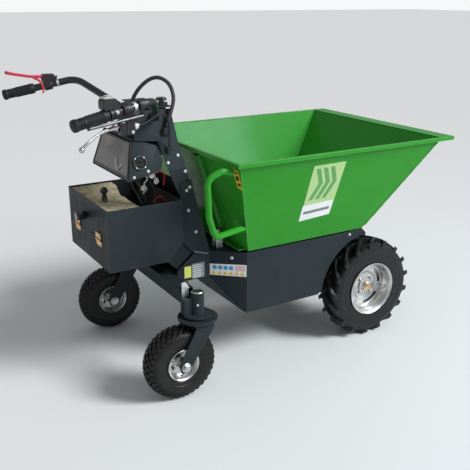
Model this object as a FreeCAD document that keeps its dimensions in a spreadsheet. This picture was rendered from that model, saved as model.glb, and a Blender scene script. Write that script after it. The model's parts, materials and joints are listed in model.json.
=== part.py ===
import FreeCAD, Part
import math
import os
import Sketcher

from FreeCAD import Placement, Rotation, Vector

# A walk-behind electric wheelbarrow: two driven wheels in front, two castors behind, a tipping
# hopper, and a leaning column with the handlebar.  +X points to the hopper's tipping lip, +Y to
# the operator's left, +Z up.  The origin is on the floor under the middle of the overall box.

os.makedirs("parts", exist_ok=True)
doc = FreeCAD.newDocument("power_wheelbarrow")
sheet = doc.addObject("Spreadsheet::Sheet", "Sheet")

DIMENSIONS = {
    # overall
    "end_reach": 750, "axle_forward": 478, "sheet_metal": 3, "plate": 5, "running_gap": 0.05,
    # hopper
    "rim_rear": 222, "rim_half": 406, "rim_top": 814, "rim_skirt": 14, "rim_flange": 10,
    "spout_depth": 60, "hopper_floor_rear": 97, "hopper_floor_front": 433,
    "hopper_floor_half": 271, "hopper_base": 462, "handle_tube": 11, "handle_side": 360,
    "keeper_reach": 28, "keeper_half": 250,
    # tipping pivot
    "pivot_forward": 455, "pivot_level": 432, "pivot_pin": 10, "lug_radius": 17, "lug_side": 155,
    # chassis
    "chassis_rear": 99, "chassis_half": 264, "chassis_bottom": 215, "deck_level": 450,
    "fender_front": 434, "deck_front": 386, "fender_nose": 470, "arch_radius": 230, "bulkhead": 226,
    "carrier_side": 170, "carrier_front": 539, "carrier_bottom": 140,
    # column
    "column_side": 175, "column_foot": 201, "column_top": 970, "column_lean": 15,
    "column_rear": 312, "column_plate_top": 715, "arm_width": 64, "arm_bottom": 505, "arm_fold": 765,
    "base_level": 352, "base_rear": 331,
    # rear beam and castors
    "beam_centre": 357, "beam_level": 356, "beam_size": 50, "beam_half": 291,
    "castor_back": 331, "castor_side": 319, "castor_trail": 75, "castor_tyre": 130.5,
    "castor_half": 42, "castor_bead": 55, "post_radius": 22.5, "post_top": 372,
    "flange_level": 289, "fork_level": 283, "fork_plate": 8, "fork_disc": 69, "fork_side": 49,
    "fork_bar": 6, "fork_width": 48, "stem_radius": 12, "castor_axle": 8,
    # drive wheels
    "wheel_tyre": 200, "wheel_side": 250, "tyre_half": 54, "bead_radius": 103,
    "flange_radius": 108, "barrel_radius": 92, "shaft_radius": 15, "axle_tube": 30,
    # console
    "console_half": 165, "console_rear": 503, "console_bottom": 740, "console_top": 874,
    # battery box
    "box_rear": 587, "box_front": 313, "box_half": 190, "box_bottom": 445, "box_top": 660,
    "box_wall": 2.5, "flap_bottom": 543, "flap_half": 150,
    # handlebar
    "bar_radius": 12.7, "grip_radius": 19, "grip_side": 377, "grip_level": 976,
    "bend_back": 480, "bend_side": 340, "bend_level": 1026, "clamp_back": 385,
    "clamp_level": 940, "grip_end_lean": 4,
}
for row, (alias, number) in enumerate(DIMENSIONS.items(), start=1):
    sheet.set("A%d" % row, alias)
    sheet.set("B%d" % row, str(number))
    sheet.setAlias("B%d" % row, alias)
doc.recompute()


class Size:
    """A length that knows its number and the sheet expression that gives it."""

    def __init__(self, number, text):
        self.number = number
        self.text = text

    def __add__(self, other):
        return join_sizes(self, "+", other)

    def __radd__(self, other):
        return join_sizes(other, "+", self)

    def __sub__(self, other):
        return join_sizes(self, "-", other)

    def __rsub__(self, other):
        return join_sizes(other, "-", self)

    def __mul__(self, other):
        return join_sizes(self, "*", other)

    def __rmul__(self, other):
        return join_sizes(other, "*", self)

    def __neg__(self):
        return join_sizes(0, "-", self)

    def __float__(self):
        return float(self.number)


def as_size(value):
    return value if isinstance(value, Size) else Size(float(value), "%.6f" % value)


def join_sizes(left, sign, right):
    left = as_size(left)
    right = as_size(right)
    number = {"+": left.number + right.number,
              "-": left.number - right.number,
              "*": left.number * right.number}[sign]
    return Size(number, "(%s %s %s)" % (left.text, sign, right.text))


class Sizes:
    """Every named dimension of the sheet as a Size."""

    def __getattr__(self, alias):
        return Size(float(sheet.get(alias)), "Sheet." + alias)


S = Sizes()
nodes = {}

# Both ends of the hose and the lower end of the brake cable, where their clips hold them.
HOSE_START = (-432, -12, 848)
HOSE_END = (-343, -138, 906)
CABLE_END = (-343, -157, 842)
# The lean of the console's sides and of the column's head, above their folds, in degrees.
SIDE_TAPER = 17.0
# The pin of the selector lever on top of the battery pack.
SELECTOR_PIVOT = (-505, 47, 632)
# The brake perch: its place along the grip run, and how far it hangs below it.
PERCH_PLACE = 0.64
PERCH_DROP = 10
# The column head's height along its lean, and the level where the console's sides start to lean.
ARM_RISE = 205
CONSOLE_FOLD = 757


def node(name, item):
    """Name a finished sub-part: its label is the name of its file."""
    item.Label = name
    nodes[name] = item
    return item


def bind(item, **values):
    for prop, value in values.items():
        size = as_size(value)
        setattr(item, prop, float(size))
        item.setExpression(prop, size.text)


def place(item, at, rotation=None):
    item.Placement = Placement(Vector(*[float(v) for v in at]), rotation or Rotation())
    for axis, value in zip("xyz", at):
        item.setExpression("Placement.Base." + axis, as_size(value).text)


# ---- solids ---------------------------------------------------------------------------------

def block(low, high):
    """A box between two corners."""
    item = doc.addObject("Part::Box", "block")
    bind(item, Length=high[0] - low[0], Width=high[1] - low[1], Height=high[2] - low[2])
    place(item, low)
    return item


ALONG = {"x": Rotation(Vector(0, 1, 0), 90), "y": Rotation(Vector(1, 0, 0), -90), "z": Rotation()}


def rod(centre, axis, radius, length):
    """A cylinder that starts at a centre and runs up the named axis."""
    item = doc.addObject("Part::Cylinder", "rod")
    bind(item, Radius=radius, Height=length)
    place(item, centre, ALONG[axis])
    return item


def ball(centre, radius):
    item = doc.addObject("Part::Sphere", "ball")
    bind(item, Radius=radius)
    place(item, centre)
    return item


def cut(base, *tools):
    for tool in tools:
        item = doc.addObject("Part::Cut", "cut")
        item.Base = base
        item.Tool = tool
        base = item
    return base


def fuse(*items):
    item = doc.addObject("Part::MultiFuse", "fuse")
    item.Shapes = list(items)
    return item


def group(*items):
    """Separate solids that share one node."""
    item = doc.addObject("Part::Compound", "group")
    item.Links = list(items)
    return item


def mirrored(item):
    """The same piece on the other side of the machine."""
    copy = doc.addObject("Part::Mirroring", "mirror")
    copy.Source = item
    copy.Normal = Vector(0, 1, 0)
    return copy


def pair(item):
    return group(item, mirrored(item))


def origin_plane(body, role):
    return next(f for f in body.Origin.OriginFeatures if f.Role == role)


def outline_sketch(body, role, corners, offset=0):
    """A closed straight-sided sketch with every corner tied to the sheet."""
    sketch = body.newObject("Sketcher::SketchObject", "outline")
    sketch.AttachmentSupport = [(origin_plane(body, role), "")]
    sketch.MapMode = "FlatFace"
    sketch.AttachmentOffset = Placement(Vector(0, 0, float(offset)), Rotation())
    sketch.setExpression("AttachmentOffset.Base.z", as_size(offset).text)
    points = [Vector(float(u), float(v), 0) for u, v in corners]
    count = len(points)
    for i in range(count):
        sketch.addGeometry(Part.LineSegment(points[i], points[(i + 1) % count]))
    for i in range(count):
        following = (i + 1) % count
        sketch.addConstraint(Sketcher.Constraint("Coincident", i, 2, following, 1))
    for i, (u, v) in enumerate(corners):
        for kind, value in (("DistanceX", u), ("DistanceY", v)):
            size = as_size(value)
            index = sketch.addConstraint(Sketcher.Constraint(kind, -1, 1, i, 1, float(size)))
            sketch.setExpression("Constraints[%d]" % index, size.text)
    return sketch


def slab(role, corners, start, thickness):
    """A flat plate: an outline padded along the plane's normal.

    The XZ plane's normal points to -Y, so there the plate fills start .. start + thickness in Y
    by starting from its far face.
    """
    body = doc.addObject("PartDesign::Body", "plate")
    offset = -(as_size(start) + thickness) if role == "XZ_Plane" else as_size(start)
    sketch = outline_sketch(body, role, corners, offset)
    pad = body.newObject("PartDesign::Pad", "pad")
    pad.Profile = sketch
    bind(pad, Length=thickness)
    sketch.Visibility = False
    return body


def turned(profile):
    """A ring turned about the Y axis: profile corners are (distance along Y, radius)."""
    body = doc.addObject("PartDesign::Body", "turned")
    sketch = outline_sketch(body, "YZ_Plane", profile)
    revolution = body.newObject("PartDesign::Revolution", "revolution")
    revolution.Profile = sketch
    revolution.ReferenceAxis = (sketch, ["H_Axis"])
    revolution.Angle = 360
    return body


def bent_path(points, bend):
    """Straight runs joined by tangent arcs: the wire and the radii of its arcs."""
    corners = [Vector(*[float(v) for v in p]) for p in points]
    edges = []
    radii = []
    start = corners[0]
    for before, corner, after in zip(corners, corners[1:], corners[2:]):
        incoming = (corner - before).normalize()
        outgoing = (after - corner).normalize()
        turn = incoming.getAngle(outgoing)
        shorter = min((corner - before).Length, (after - corner).Length)
        reach = 0.45 * shorter if bend is None else bend * math.tan(turn / 2)
        radii.append(reach / math.tan(turn / 2))
        first = corner - incoming * reach
        last = corner + outgoing * reach
        inward = (outgoing - incoming).normalize()
        height = radii[-1] / math.cos(turn / 2) - radii[-1]
        middle = corner + inward * height
        edges.append(Part.LineSegment(start, first).toShape())
        edges.append(Part.Arc(first, middle, last).toShape())
        start = last
    edges.append(Part.LineSegment(start, corners[-1]).toShape())
    return Part.Wire(edges), radii


def tube(points, radius, bend=None, report=None):
    """A round bar or cable along a bent path."""
    wire, radii = bent_path(points, bend)
    first = wire.Edges[0]
    direction = first.tangentAt(first.FirstParameter)
    start = first.valueAt(first.FirstParameter)
    ring = Part.Wire([Part.makeCircle(float(radius), start, direction)])
    item = doc.addObject("Part::Feature", "tube")
    item.Shape = wire.makePipeShell([ring], True, False)
    if report:
        expected = math.pi * float(radius) ** 2 * wire.Length
        print("%s: length %.0f mm, volume ratio %.4f, radii %s mm" % (
            report, wire.Length, item.Shape.Volume / expected, [round(r) for r in radii]))
    return item


# ---- hopper ---------------------------------------------------------------------------------

def frustum(inset, base, top):
    """A four-sided funnel solid between two levels, moved in from the hopper's outside."""
    item = doc.addObject("Part::Wedge", "frustum")
    bind(item, Ymin=base, Ymax=top,
         Xmin=-S.hopper_floor_rear + inset, Xmax=S.hopper_floor_front - inset,
         Zmin=-S.hopper_floor_half + inset, Zmax=S.hopper_floor_half - inset,
         X2min=-S.rim_rear + S.rim_flange + inset,
         X2max=S.end_reach - S.spout_depth - inset,
         Z2min=-S.rim_half + S.rim_flange + inset, Z2max=S.rim_half - S.rim_flange - inset)
    item.Placement = Placement(Vector(), Rotation(Vector(1, 0, 0), 90))
    return item


def make_hopper():
    under_rim = S.rim_top - S.sheet_metal
    outer = frustum(0, S.hopper_base - S.sheet_metal, under_rim)
    inner = frustum(S.sheet_metal, S.hopper_base, under_rim + 0.01)
    node("hopper_shell", cut(outer, inner))

    skirt_low = S.rim_top - S.rim_skirt
    whole = block((-S.rim_rear, -S.rim_half, skirt_low), (S.end_reach, S.rim_half, S.rim_top))
    hollow = block((-S.rim_rear + S.sheet_metal, -S.rim_half + S.sheet_metal, skirt_low - 1),
                   (S.end_reach - S.sheet_metal, S.rim_half - S.sheet_metal, under_rim))
    wall_in = S.rim_flange + S.sheet_metal
    mouth = block((-S.rim_rear + wall_in, -S.rim_half + wall_in, skirt_low - 1),
                  (S.end_reach - S.spout_depth - S.sheet_metal, S.rim_half - wall_in,
                   S.rim_top + 1))
    node("hopper_rim", cut(whole, hollow, mouth))

    side = -S.handle_side
    route = [(-217, side, 779), (-257, side, 789), (-312, side, 768), (-306, side, 640),
             (-284, side, 569), (-137, -298, 560)]
    node("hopper_handle", tube(route, S.handle_tube, 34))

    lug_level = S.hopper_base - S.sheet_metal
    lug = slab("XZ_Plane", [
        (S.pivot_forward - 60, lug_level), (S.pivot_forward - 26, lug_level),
        (S.pivot_forward + S.lug_radius, S.pivot_level + 6),
        (S.pivot_forward + S.lug_radius, S.pivot_level - 8),
        (S.pivot_forward + 8, S.pivot_level - S.lug_radius),
        (S.pivot_forward - 8, S.pivot_level - S.lug_radius)],
        S.lug_side, S.plate + 1)
    bore = rod((S.pivot_forward, S.lug_side - 5, S.pivot_level), "y",
               S.pivot_pin + S.running_gap, 20)
    keeper = block((-S.hopper_floor_rear - S.keeper_reach, -S.keeper_half, lug_level),
                   (-S.hopper_floor_rear - 1.2, S.keeper_half, S.hopper_base))
    node("hopper_brackets", group(pair(cut(lug, bore)), keeper))


# ---- chassis --------------------------------------------------------------------------------

def make_chassis():
    arch = rod((S.axle_forward, -400, S.wheel_tyre), "y", S.arch_radius, 800)
    side_corners = [
        (-S.chassis_rear, S.chassis_bottom), (S.bulkhead + 4, S.chassis_bottom),
        (S.bulkhead + 60, S.chassis_bottom + 40), (S.fender_nose, S.deck_level - 30),
        (S.fender_nose, S.deck_level - S.fender_nose + S.fender_front),
        (S.fender_front, S.deck_level), (-S.chassis_rear, S.deck_level)]
    right = slab("XZ_Plane", side_corners, -S.chassis_half, 4)
    left = slab("XZ_Plane", side_corners, S.chassis_half - 4, 4)
    node("chassis_side_right", cut(right, arch))
    node("chassis_side_left", cut(left, arch))

    inside = S.chassis_half - 4
    node("chassis_floor", block((-S.chassis_rear, -inside, S.chassis_bottom),
                                (S.bulkhead, inside, S.chassis_bottom + 4)))
    node("chassis_deck", slab("XY_Plane", [
        (-S.column_foot, -S.column_side + 6), (-S.chassis_rear + 4, -inside),
        (S.deck_front, -inside), (S.deck_front, inside),
        (-S.chassis_rear + 4, inside), (-S.column_foot, S.column_side - 6)],
        S.deck_level - 4, 4))
    bulkhead = block((S.bulkhead, -inside, S.chassis_bottom),
                     (S.bulkhead + 4, inside, S.deck_level - 4))

    carrier = slab("XZ_Plane", [
        (S.bulkhead + 4, S.carrier_bottom + 60), (S.axle_forward - 60, S.carrier_bottom),
        (S.axle_forward + 45, S.carrier_bottom), (S.carrier_front, S.carrier_bottom + 70),
        (S.carrier_front, S.deck_level - 55), (S.carrier_front - 45, S.deck_level - 12),
        (S.pivot_forward + 15, S.deck_level), (S.pivot_forward - 26, S.deck_level),
        (S.pivot_forward - 40, S.deck_level - 4),
        (S.bulkhead + 4, S.deck_level - 4)], S.carrier_side, S.plate + 1)
    axle_bore = rod((S.axle_forward, S.carrier_side - 5, S.wheel_tyre), "y", S.axle_tube, 20)
    pin_bore = rod((S.pivot_forward, S.carrier_side - 5, S.pivot_level), "y", S.pivot_pin, 20)
    rail = block((S.carrier_front - 35, -S.carrier_side, 340),
                 (S.carrier_front - 5, S.carrier_side, 370))
    carrier = cut(carrier, axle_bore, pin_bore)
    node("axle_frame", group(bulkhead, pair(carrier), rail))

    pin_length = S.carrier_side + S.plate + 1 - S.lug_side + 8
    pin = rod((S.pivot_forward, S.lug_side - 6, S.pivot_level), "y", S.pivot_pin, pin_length)
    node("hopper_pivot_pins", pair(pin))

    buffer = rod((-50, 200, S.deck_level), "z", 16, 8.6)
    front_buffer = rod((340, 200, S.deck_level), "z", 16, 8.6)
    node("deck_buffers", group(pair(buffer), pair(front_buffer)))

    batteries = [block((-85, y, S.chassis_bottom + 4), (190, y + 172, 428)) for y in (-178, 6)]
    node("traction_batteries", group(*batteries))
    node("motor_controller", block((-188, -70, S.base_level + 4), (-120, 70, 432)))


def make_tail():
    """Plates that narrow the chassis back to the foot of the column."""
    rear = -S.chassis_rear
    foot = -S.column_foot
    span = math.hypot(float(S.column_foot - S.chassis_rear), float(S.chassis_half - S.column_side))
    turn = math.degrees(math.atan2(float(S.chassis_half - S.column_side),
                                   float(S.column_foot - S.chassis_rear)))
    panel = slab("XZ_Plane", [
        (-span, S.base_level), (-3, S.chassis_bottom + 3), (-3, S.deck_level),
        (-span, S.deck_level)], 0, 3)
    panel.Placement = Placement(Vector(float(rear), float(-S.chassis_half), 0),
                                Rotation(Vector(0, 0, 1), -turn))
    node("tail_panels", pair(panel))

    base_side = S.column_side - S.plate
    base = slab("XZ_Plane", [
        (foot, S.deck_level), (foot, S.base_level), (-S.base_rear + 15, S.base_level),
        (-S.base_rear, S.base_level + 11), (-S.base_rear, S.base_level + 45),
        (-S.base_rear + 65, S.deck_level)], base_side, S.plate)
    strut = slab("XZ_Plane", [
        (-S.base_rear + 1, S.base_level + 50), (-S.base_rear - 20, S.base_level + 70),
        (-S.base_rear - 33, S.box_bottom - 9), (-S.box_front - 2, S.box_bottom + 52),
        (-S.base_rear + 61, S.deck_level + 30), (-S.base_rear + 61, S.deck_level)],
        base_side - 10, S.plate)
    tie = block((-S.base_rear + 16, -base_side, S.base_level), (foot, base_side, S.base_level + 4))
    shelf = block((foot, -150, S.base_level), (rear - 4, 150, S.base_level + 4))
    along = float(S.column_foot - S.chassis_rear)
    down = float(S.base_level - S.chassis_bottom)
    length = math.hypot(along, down) - 4
    closing = slab("XY_Plane", [(0, -166), (length, -254), (length, 254), (0, 166)], 0, 3)
    closing.Placement = Placement(Vector(-float(S.column_foot) - 2, 0, float(S.base_level)),
                                  Rotation(Vector(0, 1, 0), math.degrees(math.atan2(down, along))))
    node("column_base", group(pair(base), pair(strut), fuse(tie, shelf, closing)))


# ---- column, box and console -------------------------------------------------------------------

def lean(level):
    """How far behind the column's foot its front edge is at a level."""
    slope = math.tan(math.radians(float(S.column_lean)))
    return S.column_foot + (as_size(level) - S.deck_level) * slope


def make_column():
    low = S.deck_level
    high = S.column_plate_top
    side = S.column_side - S.plate
    plate = slab("XZ_Plane", [
        (-lean(low), low), (-lean(low) - 62, low), (-S.column_rear, low + 58),
        (-S.column_rear, high - 6), (-lean(high), high + 10)], side, S.plate)
    inner = side - S.plate
    cross = slab("XZ_Plane", [
        (-lean(530) - 3, 530), (-lean(530) - 7, 530), (-lean(700) - 7, 700), (-lean(700) - 3, 700)],
        -inner, inner * 2)
    node("column_plates", group(pair(plate), cross))

    bottom = S.arm_bottom
    fold = S.arm_fold
    width = S.arm_width
    lower = [(-lean(bottom) - 3, bottom), (-lean(bottom) - 3 - width * 0.8, bottom),
             (-S.box_front + 2, 640), (-S.box_front + 2, S.box_top + 3),
             (-lean(755) - 3 - width, 755), (-lean(fold) - 3 - width, fold),
             (-lean(fold) - 2, fold), (-lean(bottom) - 3, bottom + 5)]
    arm = slab("XZ_Plane", lower, side - S.plate, S.plate)
    front = -lean(fold) - 2
    upper = [(front, 0), (front - width, 0), (-365, 60), (-372, 110), (-404, 150), (-404, 196),
             (-390, ARM_RISE), (-313, ARM_RISE), (-303, 94)]
    guard = [(front, 0), (front - width, 0), (-365, 60), (-375, 100), (-458, 110), (-452, 140),
             (-438, 178), (-402, ARM_RISE), (-313, ARM_RISE), (-303, 94)]

    def leaning(outline, hand):
        start = -S.plate if hand > 0 else 0
        plate = slab("XZ_Plane", outline, start, S.plate)
        plate.Placement = Placement(Vector(0, float(hand * side), float(fold)),
                                    Rotation(Vector(1, 0, 0), hand * SIDE_TAPER))
        return plate

    bar_hole = rod((-S.clamp_back, -180, S.clamp_level), "y", S.bar_radius + 0.05, 360)
    other = slab("XZ_Plane", lower, -side, S.plate)
    hose_clip = block((HOSE_END[0] - 12, HOSE_END[1] - 9, HOSE_END[2] - 26),
                      (HOSE_END[0] + 12, HOSE_END[1] + 14, HOSE_END[2] - 3))
    cable_clip = block((CABLE_END[0] - 8, CABLE_END[1] - 6, CABLE_END[2] - 20),
                       (CABLE_END[0] + 8, CABLE_END[1] + 10, CABLE_END[2] - 2))
    left_arm = cut(fuse(arm, leaning(upper, 1)), bar_hole)
    right_arm = cut(fuse(other, leaning(guard, -1), hose_clip, cable_clip), bar_hole)
    node("column_arms", group(left_arm, right_arm))

    places = [(532, 30), (615, 36), (681, 32), (698, -16), (754, 6)]
    bolts = []
    for level, back in places:
        x = -lean(level) - 3 - back if back > 0 else -lean(level) - 10
        start = S.column_side if level < 715 else side
        bolts.append(rod((x, start, level), "y", 5, 4.5))
    node("column_bolts", pair(group(*bolts)))


def make_console():
    """The housing between the arms, its glossy rear panel and the socket on its side."""
    rear = -S.console_rear
    bottom = S.console_bottom
    top = S.console_top
    half = S.console_half
    outer = slab("XZ_Plane", [
        (rear + 4, bottom), (rear + 60, bottom + 10), (rear + 125, bottom + 24),
        (rear + 138, bottom + 58), (rear + 123, top - 28), (rear + 41, top)], -half, half * 2)
    inner = slab("XZ_Plane", [
        (rear - 20, bottom + 2), (rear + 60, bottom + 13), (rear + 123, bottom + 27),
        (rear + 135, bottom + 59), (rear + 120, top - 31), (rear + 21, top - 3)],
        -half + 3, half * 2 - 6)
    hose_hole = rod((HOSE_START[0], HOSE_START[1], HOSE_START[2] - 10), "z", 8.5, 60)

    def sides(thickness):
        """Everything outside the console's two leaning sides, moved in by a thickness."""
        wedges = []
        for hand in (-1, 1):
            wedge = group(block((rear - 30, 0 if hand > 0 else -120, -60),
                                (rear + 170, 120 if hand > 0 else 0, 180)))
            wedge.Placement = Placement(
                Vector(0, hand * (float(half) - thickness), float(CONSOLE_FOLD)),
                Rotation(Vector(1, 0, 0), hand * SIDE_TAPER))
            wedges.append(wedge)
        return wedges

    hollow = cut(inner, *sides(3.2))
    node("console_housing", cut(outer, hollow, *sides(0), hose_hole))
    panel = slab("XZ_Plane", [
        (rear + 5, bottom + 7), (rear + 9, bottom + 7), (rear + 38.4, top - 11),
        (rear + 34.4, top - 11)], -half + 3.2, half * 2 - 6.4)
    node("console_panel", cut(panel, *sides(3.6)))
    ring = cut(rod((0, -5, 0), "y", 25, 5), rod((0, -6, 0), "y", 19, 7))
    level = bottom + 57
    inset = (level - CONSOLE_FOLD) * math.tan(math.radians(SIDE_TAPER))
    ring.Placement = Placement(
        Vector(float(rear) + 53, -float(half) + float(inset) - 0.02, float(level)),
        Rotation(Vector(1, 0, 0), -SIDE_TAPER))
    node("charging_socket", ring)


def make_stop_button():
    """The mushroom button on the plate that closes the top of the column."""
    level = S.column_top
    x = -333
    y = -84
    lid = block((-395, -111, level - 4), (-310, 111, level))
    head = slab("XZ_Plane", [(-330, 800), (-362, 800), (-372, level - 4), (-318, level - 4)], -88, 176)
    bar_hole = rod((-S.clamp_back, -120, S.clamp_level), "y", S.bar_radius + 1, 240)
    collar = cut(rod((x, y, level), "z", 21, 9), rod((x, y, level + 2), "z", 9.5, 8))
    node("column_lid", fuse(lid, cut(head, bar_hole), collar))
    node("stop_button", fuse(rod((x, y, level + 8), "z", 9, 10), rod((x, y, level + 16), "z", 19, 12)))


def make_box():
    """The open box behind the column, with a flap in the upper half of its rear wall."""
    rear = -S.box_rear
    front = -S.box_front
    half = S.box_half
    wall = S.box_wall
    low = S.box_bottom
    top = S.box_top
    outer = slab("XZ_Plane", [(rear, low), (rear + 219, low), (front, low + 64), (front, top),
                              (rear, top)], -half, half * 2)
    inner = slab("XZ_Plane", [
        (rear + wall, low + wall), (rear + 218, low + wall), (front - wall, low + 65),
        (front - wall, top + 5), (rear + wall, top + 5)], -half + wall, half * 2 - wall * 2)
    doorway = block((rear - 1, -S.flap_half - 1, S.flap_bottom - 1),
                    (rear + wall + 1, S.flap_half + 1, top + 1))
    node("battery_box", cut(outer, inner, doorway))
    battery = block((rear + 30, -half + 30, low + wall), (front - 90, half - 30, 620))
    x, y, z = SELECTOR_PIVOT
    cheeks = [block((x - 10, start, 620), (x + 10, start + 6, z + 10)) for start in (y - 16, y + 10)]
    lever_pin = rod((x, y - 16, z), "y", 4, 32)
    node("box_battery", fuse(battery, lever_pin, *cheeks))

    leaf = block((rear - 2.5, -126, S.flap_bottom - 24), (rear, -80, S.flap_bottom - 6))
    barrel = rod((rear - 4, -124, S.flap_bottom - 2), "y", 3, 42)
    node("box_hinges", pair(fuse(leaf, barrel)))
    sheet_part = block((rear, -S.flap_half, S.flap_bottom), (rear + wall, S.flap_half, top))
    leaves = [block((rear - 2.5, y, S.flap_bottom + 2), (rear + 0.5, y + 46, S.flap_bottom + 20))
              for y in (-126, 80)]
    node("box_flap", fuse(sheet_part, *leaves))
    neck = rod((rear - 8, 0, 601), "x", 11, 8)
    cap = rod((rear - 42, 0, 601), "x", 15.5, 35)
    node("flap_knob", fuse(neck, cap))

    stalk = rod((x, y, z + 5), "z", 5, 26)
    boss = rod((x, y - 8, z), "y", 9, 16)
    pin_bore = rod((x, y - 16, z), "y", 4 + S.running_gap, 32)
    node("selector_lever", cut(fuse(stalk, boss, ball((x, y, z + 32), 14)), pin_bore))


# ---- handlebar and controls --------------------------------------------------------------------

def along_grip(t, side, lift=0, out=0):
    """A point on the straight grip run of one side: 0 at its tail, 1 at the bend."""
    tail = Vector(float(S.grip_end_lean - S.end_reach), float(S.grip_side), float(S.grip_level))
    bend = Vector(float(-S.bend_back), float(S.bend_side), float(S.bend_level))
    point = tail + (bend - tail) * t
    return (point.x, side * (point.y + out), point.z + lift)


def grip(side):
    start = along_grip(0, side)
    tail = along_grip(0.43, side)
    item = tube([start, tail], S.grip_radius)
    core = tube([along_grip(0.012, side), along_grip(0.46, side)], S.bar_radius + S.running_gap)
    return cut(item, core)


def make_handlebar():
    right_run = [along_grip(0.014, -1), along_grip(1, -1), (-S.clamp_back, -150, S.clamp_level),
                 (-S.clamp_back, 150, S.clamp_level), along_grip(1, 1), along_grip(0.014, 1)]
    node("handlebar", tube(right_run, S.bar_radius, 60))
    node("throttle_grip", grip(-1))
    node("left_grip", grip(1))

    def clamp(side, t):
        ring = tube([along_grip(t, side), along_grip(t + 0.1, side)], S.bar_radius + 6)
        core = tube([along_grip(t - 0.1, side), along_grip(t + 0.22, side)], S.bar_radius)
        return ring, core

    ring, core = clamp(-1, 0.6)
    x, y, z = along_grip(PERCH_PLACE, -1, -PERCH_DROP)
    body = block((x - 20, y - 12, z - 62), (x + 24, y + 12, z + 2))
    slot = block((x - 21, y - 7.5, z - 52), (x + 4, y + 7.5, z - 20))
    perch = fuse(cut(fuse(ring, body), core, slot), rod((x - 9, y - 12, z - 36), "y", 3, 24))
    blade = tube([(x - 9, y, z - 36), (x - 60, y - 4, z - 44), along_grip(0.1, -1, -72)], 6)
    eye = rod((x - 9, y - 4.5, z - 36), "y", 9, 9)
    knob = group(ball((0, 0, 0), 9))
    knob.Placement = Placement(Vector(*along_grip(0.1, -1, -72)), Rotation(Vector(0, 0, 1), 180))
    bore = rod((x - 9, y - 12, z - 36), "y", 3 + S.running_gap, 24)
    node("brake_lever", cut(fuse(blade, eye, knob), bore))

    ring, core = clamp(1, 0.56)
    x, y, z = along_grip(0.6, 1)
    body = block((x - 16, y - 12, z + 8), (x + 24, y + 12, z + 40))
    slot = block((x - 17, y - 7.5, z + 17), (x + 8, y + 7.5, z + 41))
    lever_pin = rod((x - 5, y - 12, z + 28), "y", 3, 24)
    node("parking_perch", fuse(cut(fuse(ring, body), core, slot), lever_pin))
    blade = tube([(x - 5, y, z + 28), (x - 40, y, z + 36), along_grip(0.06, 1, 78)], 5.5)
    eye = rod((x - 5, y - 4.5, z + 28), "y", 9, 9)
    bore = rod((x - 5, y - 12, z + 28), "y", 3 + S.running_gap, 24)
    node("parking_lever", cut(fuse(blade, eye), bore))

    tail = along_grip(0.16, -1, -14, 27)
    nose = along_grip(0.84, -1, -27, 27)
    end = along_grip(0.84, -1, -27, -16)
    rail = tube([tail, nose], 3)
    bridge = rod((nose[0], nose[1], nose[2]), "y", 3, end[1] - nose[1])
    node("bail_lever", fuse(rail, bridge, ball(nose, 4.5), ball(tail, 5)))
    x, y, z = along_grip(0.84, -1)
    lug = block((x - 8, y - 7, z - 36), (x + 8, y + 7, z - 6))
    hole = rod((nose[0], y - 9, nose[2]), "y", 3 + S.running_gap, 18)
    collar = tube([along_grip(0.8, -1), along_grip(0.87, -1)], S.bar_radius + 5)
    bar = tube([along_grip(0.76, -1), along_grip(0.9, -1)], S.bar_radius)
    hanger = cut(fuse(collar, lug), bar, hole)
    node("brake_perch", group(perch, hanger))


def make_cables():
    hose = [HOSE_START, (-428, -14, 930), (-404, -30, 1014), (-345, -52, 1066),
            (-303, -82, 1048), (-298, -114, 1000), (-318, -130, 956), HOSE_END]
    node("hose_loop", tube(hose, 6.5, report="hose_loop"))
    x, y, z = along_grip(PERCH_PLACE, -1, -PERCH_DROP)
    cable = [(x + 27, y, z - 40), (-510, -340, 958), (-462, -310, 974), (-416, -262, 976),
             (-374, -212, 950), (-346, -172, 896), CABLE_END]
    node("brake_cable", tube(cable, 3, report="brake_cable"))


# ---- drive ----------------------------------------------------------------------------------

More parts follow.
